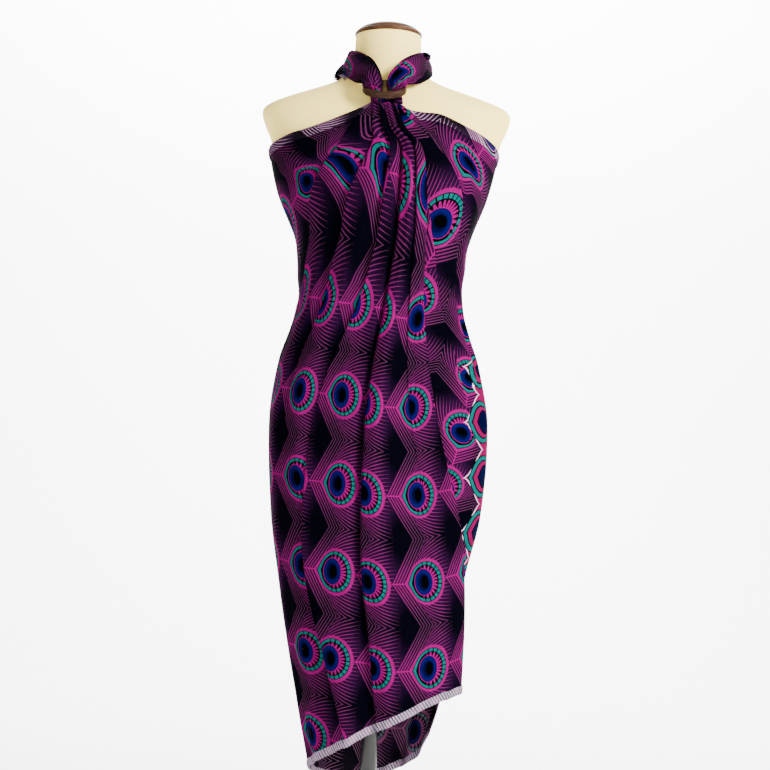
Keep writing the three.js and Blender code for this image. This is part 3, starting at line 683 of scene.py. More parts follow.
def noise(tree, scale, detail=2.0, stretch=(1, 1, 1)):
    """Soft noise through a piece, in cells of about a metre over the scale."""
    place = tree.nodes.new("ShaderNodeTexCoord")
    mapping = tree.nodes.new("ShaderNodeMapping")
    mapping.inputs["Scale"].default_value = stretch
    tree.links.new(place.outputs["Object"], mapping.inputs["Vector"])
    node = tree.nodes.new("ShaderNodeTexNoise")
    node.inputs["Scale"].default_value = scale
    node.inputs["Detail"].default_value = detail
    tree.links.new(mapping.outputs[0], node.inputs["Vector"])
    return Field(tree, node.outputs["Fac"])


def bump(tree, shader, height, distance, strength):
    """Fine relief that is too small for the mesh."""
    node = tree.nodes.new("ShaderNodeBump")
    node.inputs["Strength"].default_value = strength
    node.inputs["Distance"].default_value = distance
    put(tree, node.inputs["Height"], height)
    tree.links.new(node.outputs[0], shader.inputs["Normal"])


# ---------------------------------------------------------------- the print

# Colours are linear light.
NIGHT = (0.0006, 0.0006, 0.002)
INK = (0.0004, 0.0004, 0.0006)
PLUM = (0.009, 0.0014, 0.013)
BARB = (0.046, 0.0095, 0.034)
MAGENTA = (0.14, 0.0003, 0.068)
TEAL = (0.0005, 0.07, 0.066)
BLUE = (0.0005, 0.001, 0.046)
NAVY = (0.0003, 0.0006, 0.014)
CRIMSON = (0.12, 0.0006, 0.036)
CHALK = (0.5, 0.32, 0.44)
LILAC = (0.3, 0.18, 0.27)

FEATHER_ACROSS = 0.088  # from one eye to the next, along the feathers
FEATHER_DOWN = 0.134  # from one row of feathers to the next
TIP = 0.034  # from an eye's centre back to its tip
BARB_SLOPE = math.tan(math.radians(60))
STRAIGHT_BAND = 0.024  # width of the band of straight barbs before an eye
BARB_PITCH = 0.004  # from one straight barb to the next
CURVED_PITCH = 0.0068  # from one curved barb to the next, where they level out
FAN_LENGTH = 0.034  # how soon the curved barbs level out
BARBS_END = 0.052  # how far past an eye its curved barbs reach
RAYS = 23  # dashes and spokes in a full turn round an eye
SCATTER = 12.9898  # radians from one barb to the next, which make their ends uneven
STEM = 0.0011  # half the width of a stem
WARP = 0.012  # how far the rows stray from straight
POINT_SPREADS = 0.008  # how far off the stem an oval's point has mostly gone
POINT_STARTS = 0.012  # how far before an oval's centre its point is whole

# An eye's parts, in metres: centre along the feather, half width, half height, and point.
EYE = {
    "edge": (0.0, 0.03, 0.037, 0.009),
    "ring's outline": (-0.0014, 0.0256, 0.0316, 0.005),
    "ring": (-0.0014, 0.0246, 0.0306, 0.0045),
    "ring's inside": (-0.0027, 0.0208, 0.0264, 0.002),
    "spokes": (-0.0031, 0.0196, 0.0252, 0.0),
    "heart's rim": (-0.0063, 0.0152, 0.0211, 0.0),
    "heart's outline": (-0.0063, 0.0141, 0.02, 0.0),
    "heart": (-0.0063, 0.0137, 0.0196, 0.0),
    "pupil": (-0.0045, 0.0058, 0.0104, 0.0),
}


def oval(x, y, centre, half_width, half_height, tip):
    """Below 1 inside an oval with a point on its left: x and y are from an eye's centre."""
    along = x - centre
    pointed = (y / -POINT_SPREADS).math("EXPONENT") * (along * -1.0).ramp(0.0, POINT_STARTS) * tip
    a = (along + pointed) / half_width
    b = y / half_height
    return (a * a + b * b).math("SQRT")


def curved_barbs(tree, x, off):
    """Barbs that fan out from an eye's tip and end in a dark gap between the rows."""
    spread = 1.0 - ((x + TIP + 0.002).math("MAXIMUM", 0.0005) / -FAN_LENGTH).math("EXPONENT")
    number = off / spread / CURVED_PITCH
    phase = number.math("FRACT")
    uneven = (number.math("FLOOR") * SCATTER).math("SINE") * 0.006
    left_of_end = (x + uneven + off * 0.28) / BARBS_END
    width = left_of_end.ramp(0.5, 1.0, 0.17, 0.02) * (left_of_end < 1.0)
    near_eye = oval(x, off, 0.0, 0.03, 0.037, 0.007).ramp(1.0, 2.1, 1.0, 0.0)
    colour = Paint(tree, BARB).over(MAGENTA, near_eye * 0.45)
    curved = (phase - 0.5).math("ABSOLUTE") < width
    return Paint(tree, NIGHT).over(PLUM, near_eye).over(colour, curved)


def straight_barbs(tree, s, off):
    """Barbs in a slanted band that leads to an eye's tip, with a stem through its middle."""
    along_band = (s * (math.sin(math.radians(60)) / BARB_PITCH)).math("FRACT")
    straight = (along_band - 0.5).math("ABSOLUTE") < off.ramp(0.0, 0.067, 0.24, 0.16)
    near_stem = off.ramp(0.0, 0.06, 1.0, 0.0)
    colour = Paint(tree, BARB).over(MAGENTA, near_stem * 0.6)
    paint = Paint(tree, NIGHT).over(PLUM, near_stem).over(colour, straight)
    return paint.over(MAGENTA, off < STEM)


def eye(paint, x, off):
    """An eye over the paint: a toothed edge, a ring of dashes, spokes behind, and a dark heart."""

    def part(name):
        return oval(x, off, *EYE[name])

    turn = off.math("ARCTAN2", x + 0.004)
    ray = (turn * (RAYS / (2 * math.pi))).math("FRACT")
    from_ray = (ray - 0.5).math("ABSOLUTE") * 2.0
    behind = turn.ramp(1.5, 2.0, 1.0, 0.0)
    teeth = (turn * 9.0).math("FRACT") * 0.045
    paint = paint.over(MAGENTA, part("edge") + teeth < 1.0)
    dashes = 1.0 - (from_ray > 0.78) * behind
    paint = paint.over(INK, part("ring's outline") < 1.0).over(TEAL, (part("ring") < 1.0) * dashes)
    paint = paint.over(INK, part("ring's inside") < 1.0)
    spokes = part("spokes")
    thin = 1.0 - (from_ray > spokes.ramp(0.7, 1.0, 0.8, 0.42))
    paint = paint.over(MAGENTA, (spokes < 1.0) * thin * behind)
    paint = paint.over(MAGENTA, part("heart's rim") < 1.0).over(INK, part("heart's outline") < 1.0)
    heart = part("heart")
    blue = Paint(paint.tree, NAVY).over(BLUE, heart.ramp(0.5, 0.85))
    return paint.over(blue, heart < 1.0).over(INK, part("pupil") < 1.0)


def feathers(tree, x, y):
    """Rows of feathers: an eye to each, straight barbs before it and curved ones behind.

    Once in its own feather, x is from its eye's centre, off from its stem, and s from the
    slanted line through its tip."""
    # slow waves across the cloth, so that no row is quite straight
    x, y = (
        x + (y * 7.0 + x * 3.0).math("SINE") * WARP,
        y + (x * 11.0 + 1.0).math("SINE") * WARP + (x * 27.0).math("SINE") * (WARP * 0.25),
    )
    row = (y / FEATHER_DOWN + 0.5).math("FLOOR")
    off = (y - row * FEATHER_DOWN).math("ABSOLUTE")
    slant = off / BARB_SLOPE
    s = x + TIP - slant + STRAIGHT_BAND
    s = s.math("FLOORED_MODULO", FEATHER_ACROSS) - STRAIGHT_BAND
    x = s - TIP + slant
    barbs = curved_barbs(tree, x, off).over(straight_barbs(tree, s, off), s < 0.0)
    return eye(barbs, x, off)


PETAL_PITCH = 0.086  # from one petal to the next, up a column
PETAL_COLUMN = 0.066  # from one column of petals to the next
PETAL_POINT = 0.05  # how far a petal's tip stands before its neighbours' meeting
# A petal's ovals, in metres from its tip: centre, half width, half height, and colour.
PETAL_RINGS = (
    (0.052, 0.035, 0.034, INK), (0.053, 0.0335, 0.0325, TEAL), (0.055, 0.0285, 0.0265, INK),
    (0.056, 0.0265, 0.0245, CRIMSON), (0.061, 0.02, 0.019, INK), (0.062, 0.0185, 0.0175, NAVY),
)
PETALS_FROM = 0.62  # height of the petals' straight lower border
PALE_LINE = 0.0032  # width of the pale line round the petals
CRIMSON_LINE = 0.009  # height up to which the border is crimson


def petals(tree, feather_paint, p, q):
    """Columns of overlapping pointed petals, past the line where p is 0."""

    def column(number):
        """Depth inside a column's petals, the place from a petal's tip, and whether it is in one."""
        stagger = number.math("FLOORED_MODULO", 2.0) * 0.5
        place = q / PETAL_PITCH + stagger
        across = (place.math("FRACT") - 0.5).math("ABSOLUTE")
        from_tip = p - number * PETAL_COLUMN
        ogee = 0.5 - ((1.0 - across * 4.0).math("ARCSINE") / 3.0).math("SINE")
        depth = from_tip - ogee * PETAL_POINT
        return depth, from_tip, across * PETAL_PITCH, depth > 0.0

    here = (p / PETAL_COLUMN).math("FLOOR").math("MAXIMUM", 0.0)
    first = column(here)
    second = column(here - 1.0)
    depth, along, across = (
        behind.choose(front, first[3]) for front, behind in zip(first[:3], second[:3])
    )
    some = 1.0 - (1.0 - first[3]) * (1.0 - second[3] * (here > 0.5))

    paint = Paint(tree, CHALK).over(CRIMSON, depth > PALE_LINE)
    for centre, half_width, half_height, colour in PETAL_RINGS:
        paint = paint.over(colour, oval(along, across, centre, half_width, half_height, 0.006) < 1.0)
    paint = paint.over(CRIMSON, q < PETALS_FROM + CRIMSON_LINE)
    paint = paint.over(CHALK, q < PETALS_FROM + PALE_LINE)
    return feather_paint.over(paint, some * (q > PETALS_FROM))


def printed(tree):
    """The whole print, from the cloth's own coordinates."""
    x, y = uv_fields(tree, PRINT_MAP)
    p, q = uv_fields(tree, PETAL_MAP)
    return petals(tree, feathers(tree, x, y), p, q)


WEAVE_PITCH = 0.0007  # from one thread to the second one beside it
RELIEF = 0.0006  # depth of the cloth's weave and crumples, and of the hem's thread
HEM_STITCH = 0.0056  # from one dark line between the bottom hem's stitches to the next


def weave(tree, shader):
    """A fine plain weave and small crumples, seen as bump."""
    warp, weft = ((t * (2 * math.pi / WEAVE_PITCH)).math("SINE") for t in uv_fields(tree, PRINT_MAP))
    crumple = noise(tree, 55.0, 3.0)
    bump(tree, shader, warp * weft * 0.25 + crumple * 1.2, RELIEF, 0.35)


def cloth_material():
    """The printed face: soft, with a slight satin sheen."""
    material, tree, shader = new_material("printed_cloth", Roughness=0.6, IOR=1.02)
    put(tree, shader.inputs["Base Color"], printed(tree).colour)
    weave(tree, shader)
    return material


def reverse_material(name, most):
    """The other face: the print as it comes through the cloth, with its bright lines paler.

    most is how far the brightest of them turn lilac."""
    material, tree, shader = new_material(name, Roughness=0.8, IOR=1.02)
    paint = printed(tree)
    grey = tree.nodes.new("ShaderNodeRGBToBW")
    put(tree, grey.inputs[0], paint.colour)
    faded = Field(tree, grey.outputs[0]).ramp(0.0, 0.03, 0.01, most)
    put(tree, shader.inputs["Base Color"], paint.over(LILAC, faded).colour)
    weave(tree, shader)
    return material


def hem_material():
    """The bottom hem's overlocked thread: pale lilac, in close slanting stitches."""
    material, tree, shader = new_material("hem_thread", Roughness=0.85, IOR=1.02)
    x, y = uv_fields(tree, PRINT_MAP)
    ridge = ((x + y * 0.6) / HEM_STITCH).math("FRACT").math("PINGPONG", 0.5) * 2.0
    paint = Paint(tree, (0.04, 0.03, 0.045)).over((0.26, 0.21, 0.27), ridge.ramp(0.25, 0.75))
    paint = paint.over(LILAC, noise(tree, 60.0).ramp(0.4, 0.7, 0.0, 0.5))
    put(tree, shader.inputs["Base Color"], paint.colour)
    bump(tree, shader, ridge, RELIEF, 0.6)
    return material


# ---------------------------------------------------------------- other materials


def wood_material(name, dark, light, stretch, roughness):
    """Wood with grain along one axis, varnished."""
    material, tree, shader = new_material(name, Roughness=roughness, IOR=1.15)
    grain = noise(tree, 60.0, 6.0, stretch)
    rings = noise(tree, 14.0, 3.0, stretch)
    share = grain.ramp(0.3, 0.7) * 0.6 + rings.ramp(0.35, 0.65) * 0.4
    paint = Paint(tree, dark).over(light, share)
    put(tree, shader.inputs["Base Color"], paint.colour)
    bump(tree, shader, grain, 0.0004, 0.3)
    return material


def form_material():
    """Smooth cream jersey, a little darker and yellower where hands have rubbed it."""
    material, tree, shader = new_material("form_cover", Roughness=0.8, IOR=1.15)
    knit = noise(tree, 900.0, 1.0, (1, 1, 0.35))
    soiled = noise(tree, 5.0, 3.0).ramp(0.35, 0.75)
    paint = Paint(tree, (0.99, 0.76, 0.22)).over((0.98, 0.71, 0.14), soiled)
    put(tree, shader.inputs["Base Color"], paint.colour)
    bump(tree, shader, knit, 0.0004, 0.25)
    return material


def steel_with_painted_shade():
    """Brushed steel, drawn up and down, with painted shade: its colours are darkened as if the shade
    inside the skirt lay on it, on the pole and the base alike.
    """
    material, tree, shader = new_material("stand_steel", Metallic=0.95, Anisotropic=0.4)
    drawn = noise(tree, 250.0, 2.0, (1, 1, 0.02))
    # painted shade: both greys are far darker than brushed steel, to stand for the shade inside the
    # skirt
    paint = Paint(tree, (0.03, 0.03, 0.029)).over((0.05, 0.05, 0.049), drawn)
    put(tree, shader.inputs["Base Color"], paint.colour)
    put(tree, shader.inputs["Roughness"], drawn.ramp(0.2, 0.8, 0.3, 0.42))
    bump(tree, shader, drawn, 0.0002, 0.2)
    return material


# ---------------------------------------------------------------- panels, hems

# A hem's face, in millimetres: how far it stands off the cloth at the hem's edges, how much
# further in the middle, how far the edges stray up and down, and how far behind the cloth a
# ridged hem reaches.
HEM = {"stands": 0.45, "plump": 0.8, "strays": 0.9, "behind": 0.5}
# The bottom hem's raised ridges: metres from one to the next, how many of them one leans by
# across the hem, and their height as a share of the hem's thickness.
RIDGES = {"pitch": 0.0042, "lean": 1.3, "high": 0.28}
HEM_ROWS = 7  # rows of points across a hem
ROWS_RISE = 1.4  # how far the print's rows follow the rise of the top edge
ROWS_LEVEL_AT = 1040  # height from which the rows are level on down
ROWS_CROWD = 1.1  # the higher, the closer a panel's rows stand near its top
SIDE_RADIUS = 0.17  # the wrap's radius at the sides, in metres
# Where the petals begin on the right: degrees low down, the heights over which their line goes
# back to the side, the degrees that it goes on beyond the side, and the heights for that.
PETALS_SIDE = {"low": 48.5, "leaves": 965, "at_side": 1145, "beyond": 17, "from": 1130, "to": 1230}
HIP_PETAL = {"height": 965, "spread": 45, "deep": 0.022, "back": 0.007}  # the left hip's petal
BACK_PETALS = {"from": 0.05, "after": 0.28}  # metres on from the side where they go on evenly


def spaced_rows(count):
    """Rows of a panel: through its top hem, down the cloth, and through its bottom hem."""
    top = np.linspace(-1, 0, HEM_ROWS)[:-1]
    middle = np.linspace(0, 1, count) ** ROWS_CROWD
    bottom = np.linspace(1, 2, HEM_ROWS)[1:]
    return np.concatenate([top, middle, bottom])


def print_maps(sheet, points, places, heights, anchor, direction, petal_start):
    """The two maps of a panel's print, in metres: across from the anchor column and up, and in
    from the petals' line."""
    run = sheet.run(points, heights)
    across = direction * (run - run[anchor])
    rise = ROWS_RISE * (heights[:, :1] - TOP_LEFT[-1]["z"])
    up = (heights - rise * rising(heights, ROWS_LEVEL_AT, THROAT)) * MM
    return {PRINT_MAP: np.stack([across, up], -1), PETAL_MAP: petal_start(run, places, heights)}


def petal_side(height):
    """Degrees from the front at which the petals begin, on the right side."""
    place = PETALS_SIDE
    to_side = mix(place["low"], SIDE, rising(height, place["leaves"], place["at_side"]))
    return to_side + place["beyond"] * rising(height, place["from"], place["to"])


def petals_front(run, _, heights):
    """No petals on the front, but for the point of one that comes round the left hip."""
    point = HIP_PETAL["deep"] * hump(heights, HIP_PETAL["height"], HIP_PETAL["spread"])
    return np.stack([run - run[-1] + point - HIP_PETAL["back"], heights * MM], -1)


def petals_under(run, places, heights):
    """From the petals' line, which leaves the under panel for the back higher up."""
    side, hidden = petal_side(heights), hidden_edge_angle(heights)
    share = (side - hidden) / (SIDE - hidden)
    start = [np.interp(share[:, j].mean(), places[:, j], run[:, j]) for j in range(run.shape[1])]
    beyond = np.radians(np.maximum(side - SIDE, 0)) * SIDE_RADIUS
    return np.stack([run - np.array(start) - beyond, heights * MM], -1)


def petals_back(run, _, heights):
    """From the same line, which the back takes on past the right side."""
    past = run[-1] - run
    at_side = np.radians(SIDE - petal_side(heights)) * SIDE_RADIUS
    before = mix(at_side, BACK_PETALS["from"], smooth(past / BACK_PETALS["after"]))
    return np.stack([past + before, heights * MM], -1)


def rotated(uv, degrees):
    """The print turned on the cloth."""
    c, s = math.cos(math.radians(degrees)), math.sin(math.radians(degrees))
    return uv @ np.array([[c, -s], [s, c]])


def hem(name, sheet, rows, columns, maps, material, ridged):
    """A turned hem: the panel's own points, moved out, with a rounded section."""
    place = (rows - rows[0]) / (rows[-1] - rows[0])
    plump = HEM["stands"] + HEM["plump"] * np.sqrt(np.clip(1 - (2 * place - 1) ** 2, 0, 1))
    base, _, _ = sheet.grid(rows, -CLOTH - HEM["behind"] if ridged else GAP, columns)
    proud, _, _ = sheet.grid(rows, GAP + plump, columns)
    column = np.arange(len(columns))[:, None]
    uneven = 0.6 * np.sin(column * 0.31) + 0.4 * np.sin(column * 0.83 + 1)
    edge = (2 * np.abs(place - 0.5))[None, :] ** 2
    for grid in (base, proud):
        grid[..., 2] += HEM["strays"] * MM * uneven * edge
    if ridged:
        steps = np.diff(proud[:, 0], axis=0, prepend=proud[:1, 0])
        along = np.linalg.norm(steps, axis=-1).cumsum()[:, None] / RIDGES["pitch"]
        wave = 0.5 + 0.5 * np.sin(2 * math.pi * (along + place[None, :] * RIDGES["lean"]))
        high = RIDGES["high"] * wave * np.sin(math.pi * place)[None, :]
        proud = proud + (proud - base) * high[..., None]
    return shell(name, proud, base, maps, [material, material])


def build_panel(name, panel, tucks, wrinkle, finest, rows, materials, mapping, hems):
    """A panel and its hems, and its flat cut.

    finest is about how many millimetres a column takes. mapping is the print's: a test for the
    column where it starts, its direction across, the petals' function and its turn in degrees.
    hems gives each hem's name, whether it is at the top, where across the panel it starts,
    whether it has ridges, and its material."""
    columns = columns_between(tucks, finest)
    sheet = Sheet(panel, tucks, columns, wrinkle)
    outer, places, heights = sheet.grid(rows)
    inner, _, _ = sheet.grid(rows, -CLOTH)
    anchor, direction, petal_start, turn = mapping
    anchor = next(i for i, column in enumerate(columns) if anchor(column))
    maps = print_maps(sheet, outer, places, heights, anchor, direction, petal_start)
    maps[PRINT_MAP] = rotated(maps[PRINT_MAP], turn)
    piece = stands_for(shell(name, outer, inner, maps, materials), name)
    made = []
    for hem_name, top, start, ridged, thread in hems:
        inside_hem = rows <= 0 if top else rows >= 1
        edge = places[:, 0 if top else -1]
        first = next(i for i, place in enumerate(edge) if place >= start - 1e-6)
        hem_maps = {label: uv[first:, inside_hem] for label, uv in maps.items()}
        strip = hem(hem_name, sheet, rows[inside_hem], columns[first:], hem_maps, thread, ridged)
        made.append(stands_for(strip, hem_name))
    return piece, made, flat_cut(sheet, outer, heights)


def flat_cut(sheet, points, heights):
    """The cut of a panel in metres, opened out: its greatest width and length, and its area."""
    run = sheet.run(points, heights)
    long = np.abs(np.diff(heights, axis=1)).sum(1) * MM
    width, length = float(run[-1].max()), float(long.max())
    strips = np.diff(run, axis=0).mean(1) * (long[1:] + long[:-1]) / 2
    return {"flat": (width, length), "area": float(strips.sum())}


# ---------------------------------------------------------------- gathered cloth at the neck

# Stations along a gathered corner: wide is half its width as a band, and thick half its
# thickness. faces is the direction of its outer face, from the front; turn is 90 where the band
# runs up and 0 where it runs level; lean tilts its top edge out.
NECK_COLUMNS = "x y z wide thick faces turn lean"
KNOT = {"centre": (0, 73.6, 1480), "half_width": 22, "half_depth": 13, "half_height": 18}
ROUND_THE_NECK = [
    (23, -102, 1419.5, 15, 11.5, 6, 74, 0),
    (28, -95, 1430, 17.5, 9.5, 22, 48, -8),
    (38, -77, 1442, 21.5, 7.5, 42, 24, -22),
    (54, -52, 1455.5, 21.5, 5.5, 62, 8, -24),
    (64, -19, 1466.5, 19.5, 4.8, 82, 0, -18),
    (63, 14, 1474, 17.5, 4.8, 102, 0, -12),
    (52, 44, 1478, 15.5, 5, 132, 0, -5),
    (35, 61, 1480, 13, 5.2, 160, 0, 0),
    (KNOT["half_width"] + GAP, 68, 1480, 11, 6, 180, 0, 0),
]
LEFT_START = [
    (8, -94.5, THROAT - 1.4, 14.5, 4.2, 0, 90, 0),
    (12.5, -95, 1396.5, 12, 7, 0, 90, 0),
    (18.6, -97.5, 1404.5, 10.6, 11, 0, 90, 0),
    (22.6, -101, 1412, 14, 12.5, 0, 90, 0),
]
RIGHT_START = [
    (15.5, -90.5, THROAT - 1.4, 10, 3.4, 0, 90, 0),
    (14, -93.5, 1396.5, 10, 6.5, 0, 90, 0),
    (12, -97.5, 1404.5, 10.4, 11, 0, 90, 0),
    (16, -101, 1412, 12.8, 12.5, 0, 90, 0),
]
TAIL_LEFT = table(
    "x y z half",
    (-22.4, 82.4, 1481, 6), (-43, 76, 1477, 10), (-62, 52, 1471, 12), (-70, 24, 1463, 11),
    (-73, -2, 1453, 10), (-76, -20, 1446, 8), (-80, -36, 1438, 3),
)
TAIL_RIGHT = table(
    "x y z half",
    (5, 82.6, 1461.3, 7), (9, 92, 1447, 11), (13, 98, 1429, 14), (16, 103, 1407, 17),
    (18, 108, 1383, 19),
)
RUFFLE = {"height": 3, "waves": 2}  # a loose end's ripples: millimetres, and waves across it
RIGHT_STARTS_NEARER = 7  # millimetres by which the right strand leaves nearer the middle
GATHERED_PRINT = 1.35  # how much faster the print runs on across a strand's small pleats
STRAND_ROUND = 0.93  # share of its round section that a strand's wall goes over


def curves_of(rows, names):
    """A smooth curve for each named column, by the row's number."""
    numbered = [{"i": i, **row} for i, row in enumerate(rows)]
    return {name: follow(numbered, "i", name) for name in names.split()}


def unit(vectors):
    """The vectors' directions, each one long."""
    return vectors / np.linalg.norm(vectors, axis=-1, keepdims=True)


def centre_line(rows, width, count):
    """A table's smooth line: its places along, its points, its directions and its widths."""
    at = curves_of(rows, f"x y z {width}")
    along = np.linspace(0, len(rows) - 1, count)
    line = np.stack([at[k](along) for k in "xyz"], -1)
    return along, line, unit(np.gradient(line, axis=0)), at[width](along)


def lengths(points, axis):
    """Lengths of the steps between points along an axis of their grid."""
    return np.linalg.norm(np.diff(points, axis=axis), axis=-1)


def only_feathers(uv):
    """A piece's maps where it has no petals."""
    return {PRINT_MAP: uv, PETAL_MAP: np.stack([np.full(uv.shape[:2], -1.0), uv[..., 1]], -1)}


def strand(name, stations, side, pleats, materials, origin):
    """A gathered corner: a thin-walled bundle of pleats, left open on its inner side.

    side is -1 on the left, and pleats is about how many folds run along it."""
    at = curves_of(table(NECK_COLUMNS, *stations), NECK_COLUMNS)
    around = np.linspace(-STRAND_ROUND * math.pi, STRAND_ROUND * math.pi, 150)
    grid = []
    for i in np.linspace(0, len(stations) - 1, 150):
        value = {key: float(curve(i)) for key, curve in at.items()}
        faces, turn, lean = (math.radians(value[key]) for key in ("faces", "turn", "lean"))
        outward = np.array([side * math.sin(faces), -math.cos(faces), 0])
        onward = np.array([side * math.cos(faces), math.sin(faces), 0])
        top = np.array([0, 0, math.cos(turn)]) - onward * math.sin(turn)
        tall = top * math.cos(lean) + outward * math.sin(lean)
        deep = outward * math.cos(lean) - top * math.sin(lean)
        phase = around + 0.28 * np.sin(2 * around + 0.35 * i) + 0.12 * np.sin(3 * around - 0.5 * i)
        swell = 0.83 + 0.24 * np.abs(np.cos(pleats * phase / 2 + 0.25 * math.sin(0.9 * i))) ** 0.75
        centre = np.array([side * value["x"], value["y"], value["z"]])
        high = value["wide"] * swell * np.sin(around)
        out = value["thick"] * swell * np.cos(around)
        grid.append(centre + high[:, None] * tall + out[:, None] * deep)
    outer = np.array(grid).transpose(1, 0, 2) * MM
    return cloth_band(name, outer, materials, origin, GATHERED_PRINT)


def cloth_band(name, outer, materials, origin, packed=1.0):
    """A thin shell from one grid, with the print laid along it, and its flat size, in metres.

    Small pleats hide all but one part in packed of the cloth's width, so the print runs on faster."""
    zero = np.zeros((1, outer.shape[1]))
    across = np.concatenate([zero, np.cumsum(lengths(outer, 0), axis=0)])
    down = np.concatenate([[0], np.cumsum(lengths(outer, 1).mean(0))])
    along = np.broadcast_to(down + origin[1], across.shape)
    uv = np.stack([across * packed + origin[0], along], -1)
    normal = np.cross(np.gradient(outer, axis=0), np.gradient(outer, axis=1))
    normal /= np.maximum(np.linalg.norm(normal, axis=-1, keepdims=True), 1e-12)
    centre = outer.mean(0, keepdims=True)
    sign = np.sign(np.einsum("ijk,ijk->", normal, outer - centre)) or 1.0
    inner = outer - sign * normal * CLOTH * MM
    piece = shell(name, outer, inner, only_feathers(uv), materials, 75)
    return stands_for(piece, name), (float(across[-1].mean()), float(down[-1]))


def tail(name, stations, across_axis, materials, origin):
    """A loose end: a rippled sheet along a line, spread across one direction."""
    along, line, tangent, half = centre_line(stations, "half", 70)
    wide = unit(across_axis - tangent * (tangent @ across_axis)[:, None])
    normal = np.cross(tangent, wide)
    v = np.linspace(-1, 1, 60)[:, None, None]
    u = (along / along[-1])[None, :, None]
    wave = RUFFLE["height"] * u * np.cos(RUFFLE["waves"] * math.pi * v)
    wave = wave + 0.9 * np.abs(np.sin(4.5 * math.pi * v + 2 * u)) * (1 - 0.5 * u) + SOLID_CLOTH / 2
    grid = line[None] + v * half[None, :, None] * wide[None] + wave * normal[None]
    return cloth_band(name, grid * MM, materials, origin)


ROLL = table(
    "x y z radius",
    (59, -35, 1475, 2), (59.3, -34.6, 1475.3, 5.2), (59.8, -32.5, 1475.9, 6.4), (62, -12, 1480, 6.4),
    (59, 18, 1483, 6), (46, 42, 1484, 5), (34, 54, 1484, 2),
)
THREADS = 6  # loose threads at the end of the left tail


def tube(name, rows, material, origin=(0.0, 0.0)):
    """A closed tube along a table of places and radii, with the print laid along it."""
    _, line, tangent, radius = centre_line(rows, "radius", 12 * (len(rows) - 1) + 1)
    side = unit(np.cross(tangent, np.array([0.0, 0, 1])))
    up = np.cross(side, tangent)
    turn = np.linspace(0, 2 * math.pi, 28, endpoint=False)[None, :, None]
    spread = np.cos(turn) * side[:, None] + np.sin(turn) * up[:, None]
    rings = (line[:, None] + radius[:, None, None] * spread) * MM
    far = np.linalg.norm(np.diff(line, axis=0, prepend=line[:1]), axis=-1).cumsum() * MM
    uv = np.broadcast_arrays(turn[..., 0] * 0.006 + origin[0], far[:, None] + origin[1])
    return solid_of_rings(name, rings, material, only_feathers(np.stack(uv, -1)), 60)


def loose_threads(material):
    """The raw threads at the end of the left tail, which lie on the shoulder."""
    pieces = []
    for k in range(THREADS):
        x, y, z = -76 + 1.1 * k, -37 - 0.6 * k, 1441.5 - 0.7 * k
        a = 0.25 * k
        end = (x + 12 * math.cos(a), y - 11, z - 3.5 - 6 * math.sin(a))
        middle = (x + 5 * math.cos(a), y - 6.5, z - 0.5 - 2 * math.sin(a))
        rows = table("x y z radius", (x, y, z, 0.5), (*middle, 0.7), (*end, 0.35))
        pieces.append(tube(f"tail_thread_{k + 1}", rows, material))
    return pieces


def knot(material):
    """The knot at the nape: two lobes of bunched cloth, with a waist between them."""
    cx, cy, cz = KNOT["centre"]
    rings, uvs = [], []
    for u in np.linspace(-1, 1, 70):
        lobe = 0.62 + 0.42 * math.sin(math.pi * abs(u)) + 0.18 * (1 - abs(u))
        angle = np.linspace(0, 2 * math.pi, 120, endpoint=False)
        phase = angle + 0.9 * u + 0.2 * np.sin(2 * angle)
        crease = 0.9 + 0.13 * np.abs(np.cos(4.5 * phase)) ** 0.7
        y = cy + KNOT["half_depth"] * lobe * crease * np.cos(angle)
        z = cz + KNOT["half_height"] * lobe * crease * np.sin(angle)
        x = np.full_like(angle, cx + KNOT["half_width"] * u)
        rings.append(np.stack([x, y, z], -1) * MM)
        uvs.append(np.stack([angle * 0.016 + 0.1, np.full_like(angle, 1.3 + 0.05 * u)], -1))
    return solid_of_rings("nape_knot", np.array(rings), material, only_feathers(np.array(uvs)), 75)


# ---------------------------------------------------------------- buckle, dress form, stand

BUCKLE = {"width": 67, "depth": 47, "rim": 7, "bar": 7, "thickness": 6.4, "bevel": 2.2}
BUCKLE_CENTRE = (-3.6, -96.5, 1408.5)
BUCKLE_TILT = 38  # degrees from level, with its front edge the lower
CAP = {"radius": 53.5, "thickness": 5, "crown": 18.5}
# The stand, in metres.
POLE = {"radius": 0.013, "low": 0.0163, "high": 0.7997, "edge": 0.0006}
BASE = {"radius": 0.215, "low": 0, "high": 0.016, "edge": 0.0045}


def buckle_mesh(size):
    """A flat oval with two slots, rounded at every edge, round the origin."""
    curve = bpy.data.curves.new("buckle_outline", "CURVE")
    curve.dimensions, curve.fill_mode = "2D", "BOTH"
    curve.extrude, curve.bevel_depth = size["thickness"] / 2, size["bevel"]
    curve.bevel_resolution, curve.offset = 4, -size["bevel"]

    def ring(points):
        spline = curve.splines.new("POLY")
        spline.points.add(len(points) - 1)
        for point, (x, y) in zip(spline.points, points):
            point.co = (x, y, 0, 1)
        spline.use_cyclic_u = True

    turn = np.linspace(0, 2 * math.pi, 128, endpoint=False)
    ring([(size["width"] / 2 * math.cos(a), size["depth"] / 2 * math.sin(a)) for a in turn])
    half_wide, half_deep = size["width"] / 2 - size["rim"], size["depth"] / 2 - size["rim"]
    start = math.asin(size["bar"] / 2 / half_wide)
    for side in (-1, 1):
        arc = np.linspace(start, math.pi - start, 48)
        ring([(side * half_wide * math.sin(a), half_deep * math.cos(a)) for a in arc])
    drawn = placed("buckle_drawn", curve)
    bpy.context.view_layer.update()
    mesh = bpy.data.meshes.new_from_object(drawn.evaluated_get(bpy.context.evaluated_depsgraph_get()))
    bpy.data.objects.remove(drawn)
    return mesh


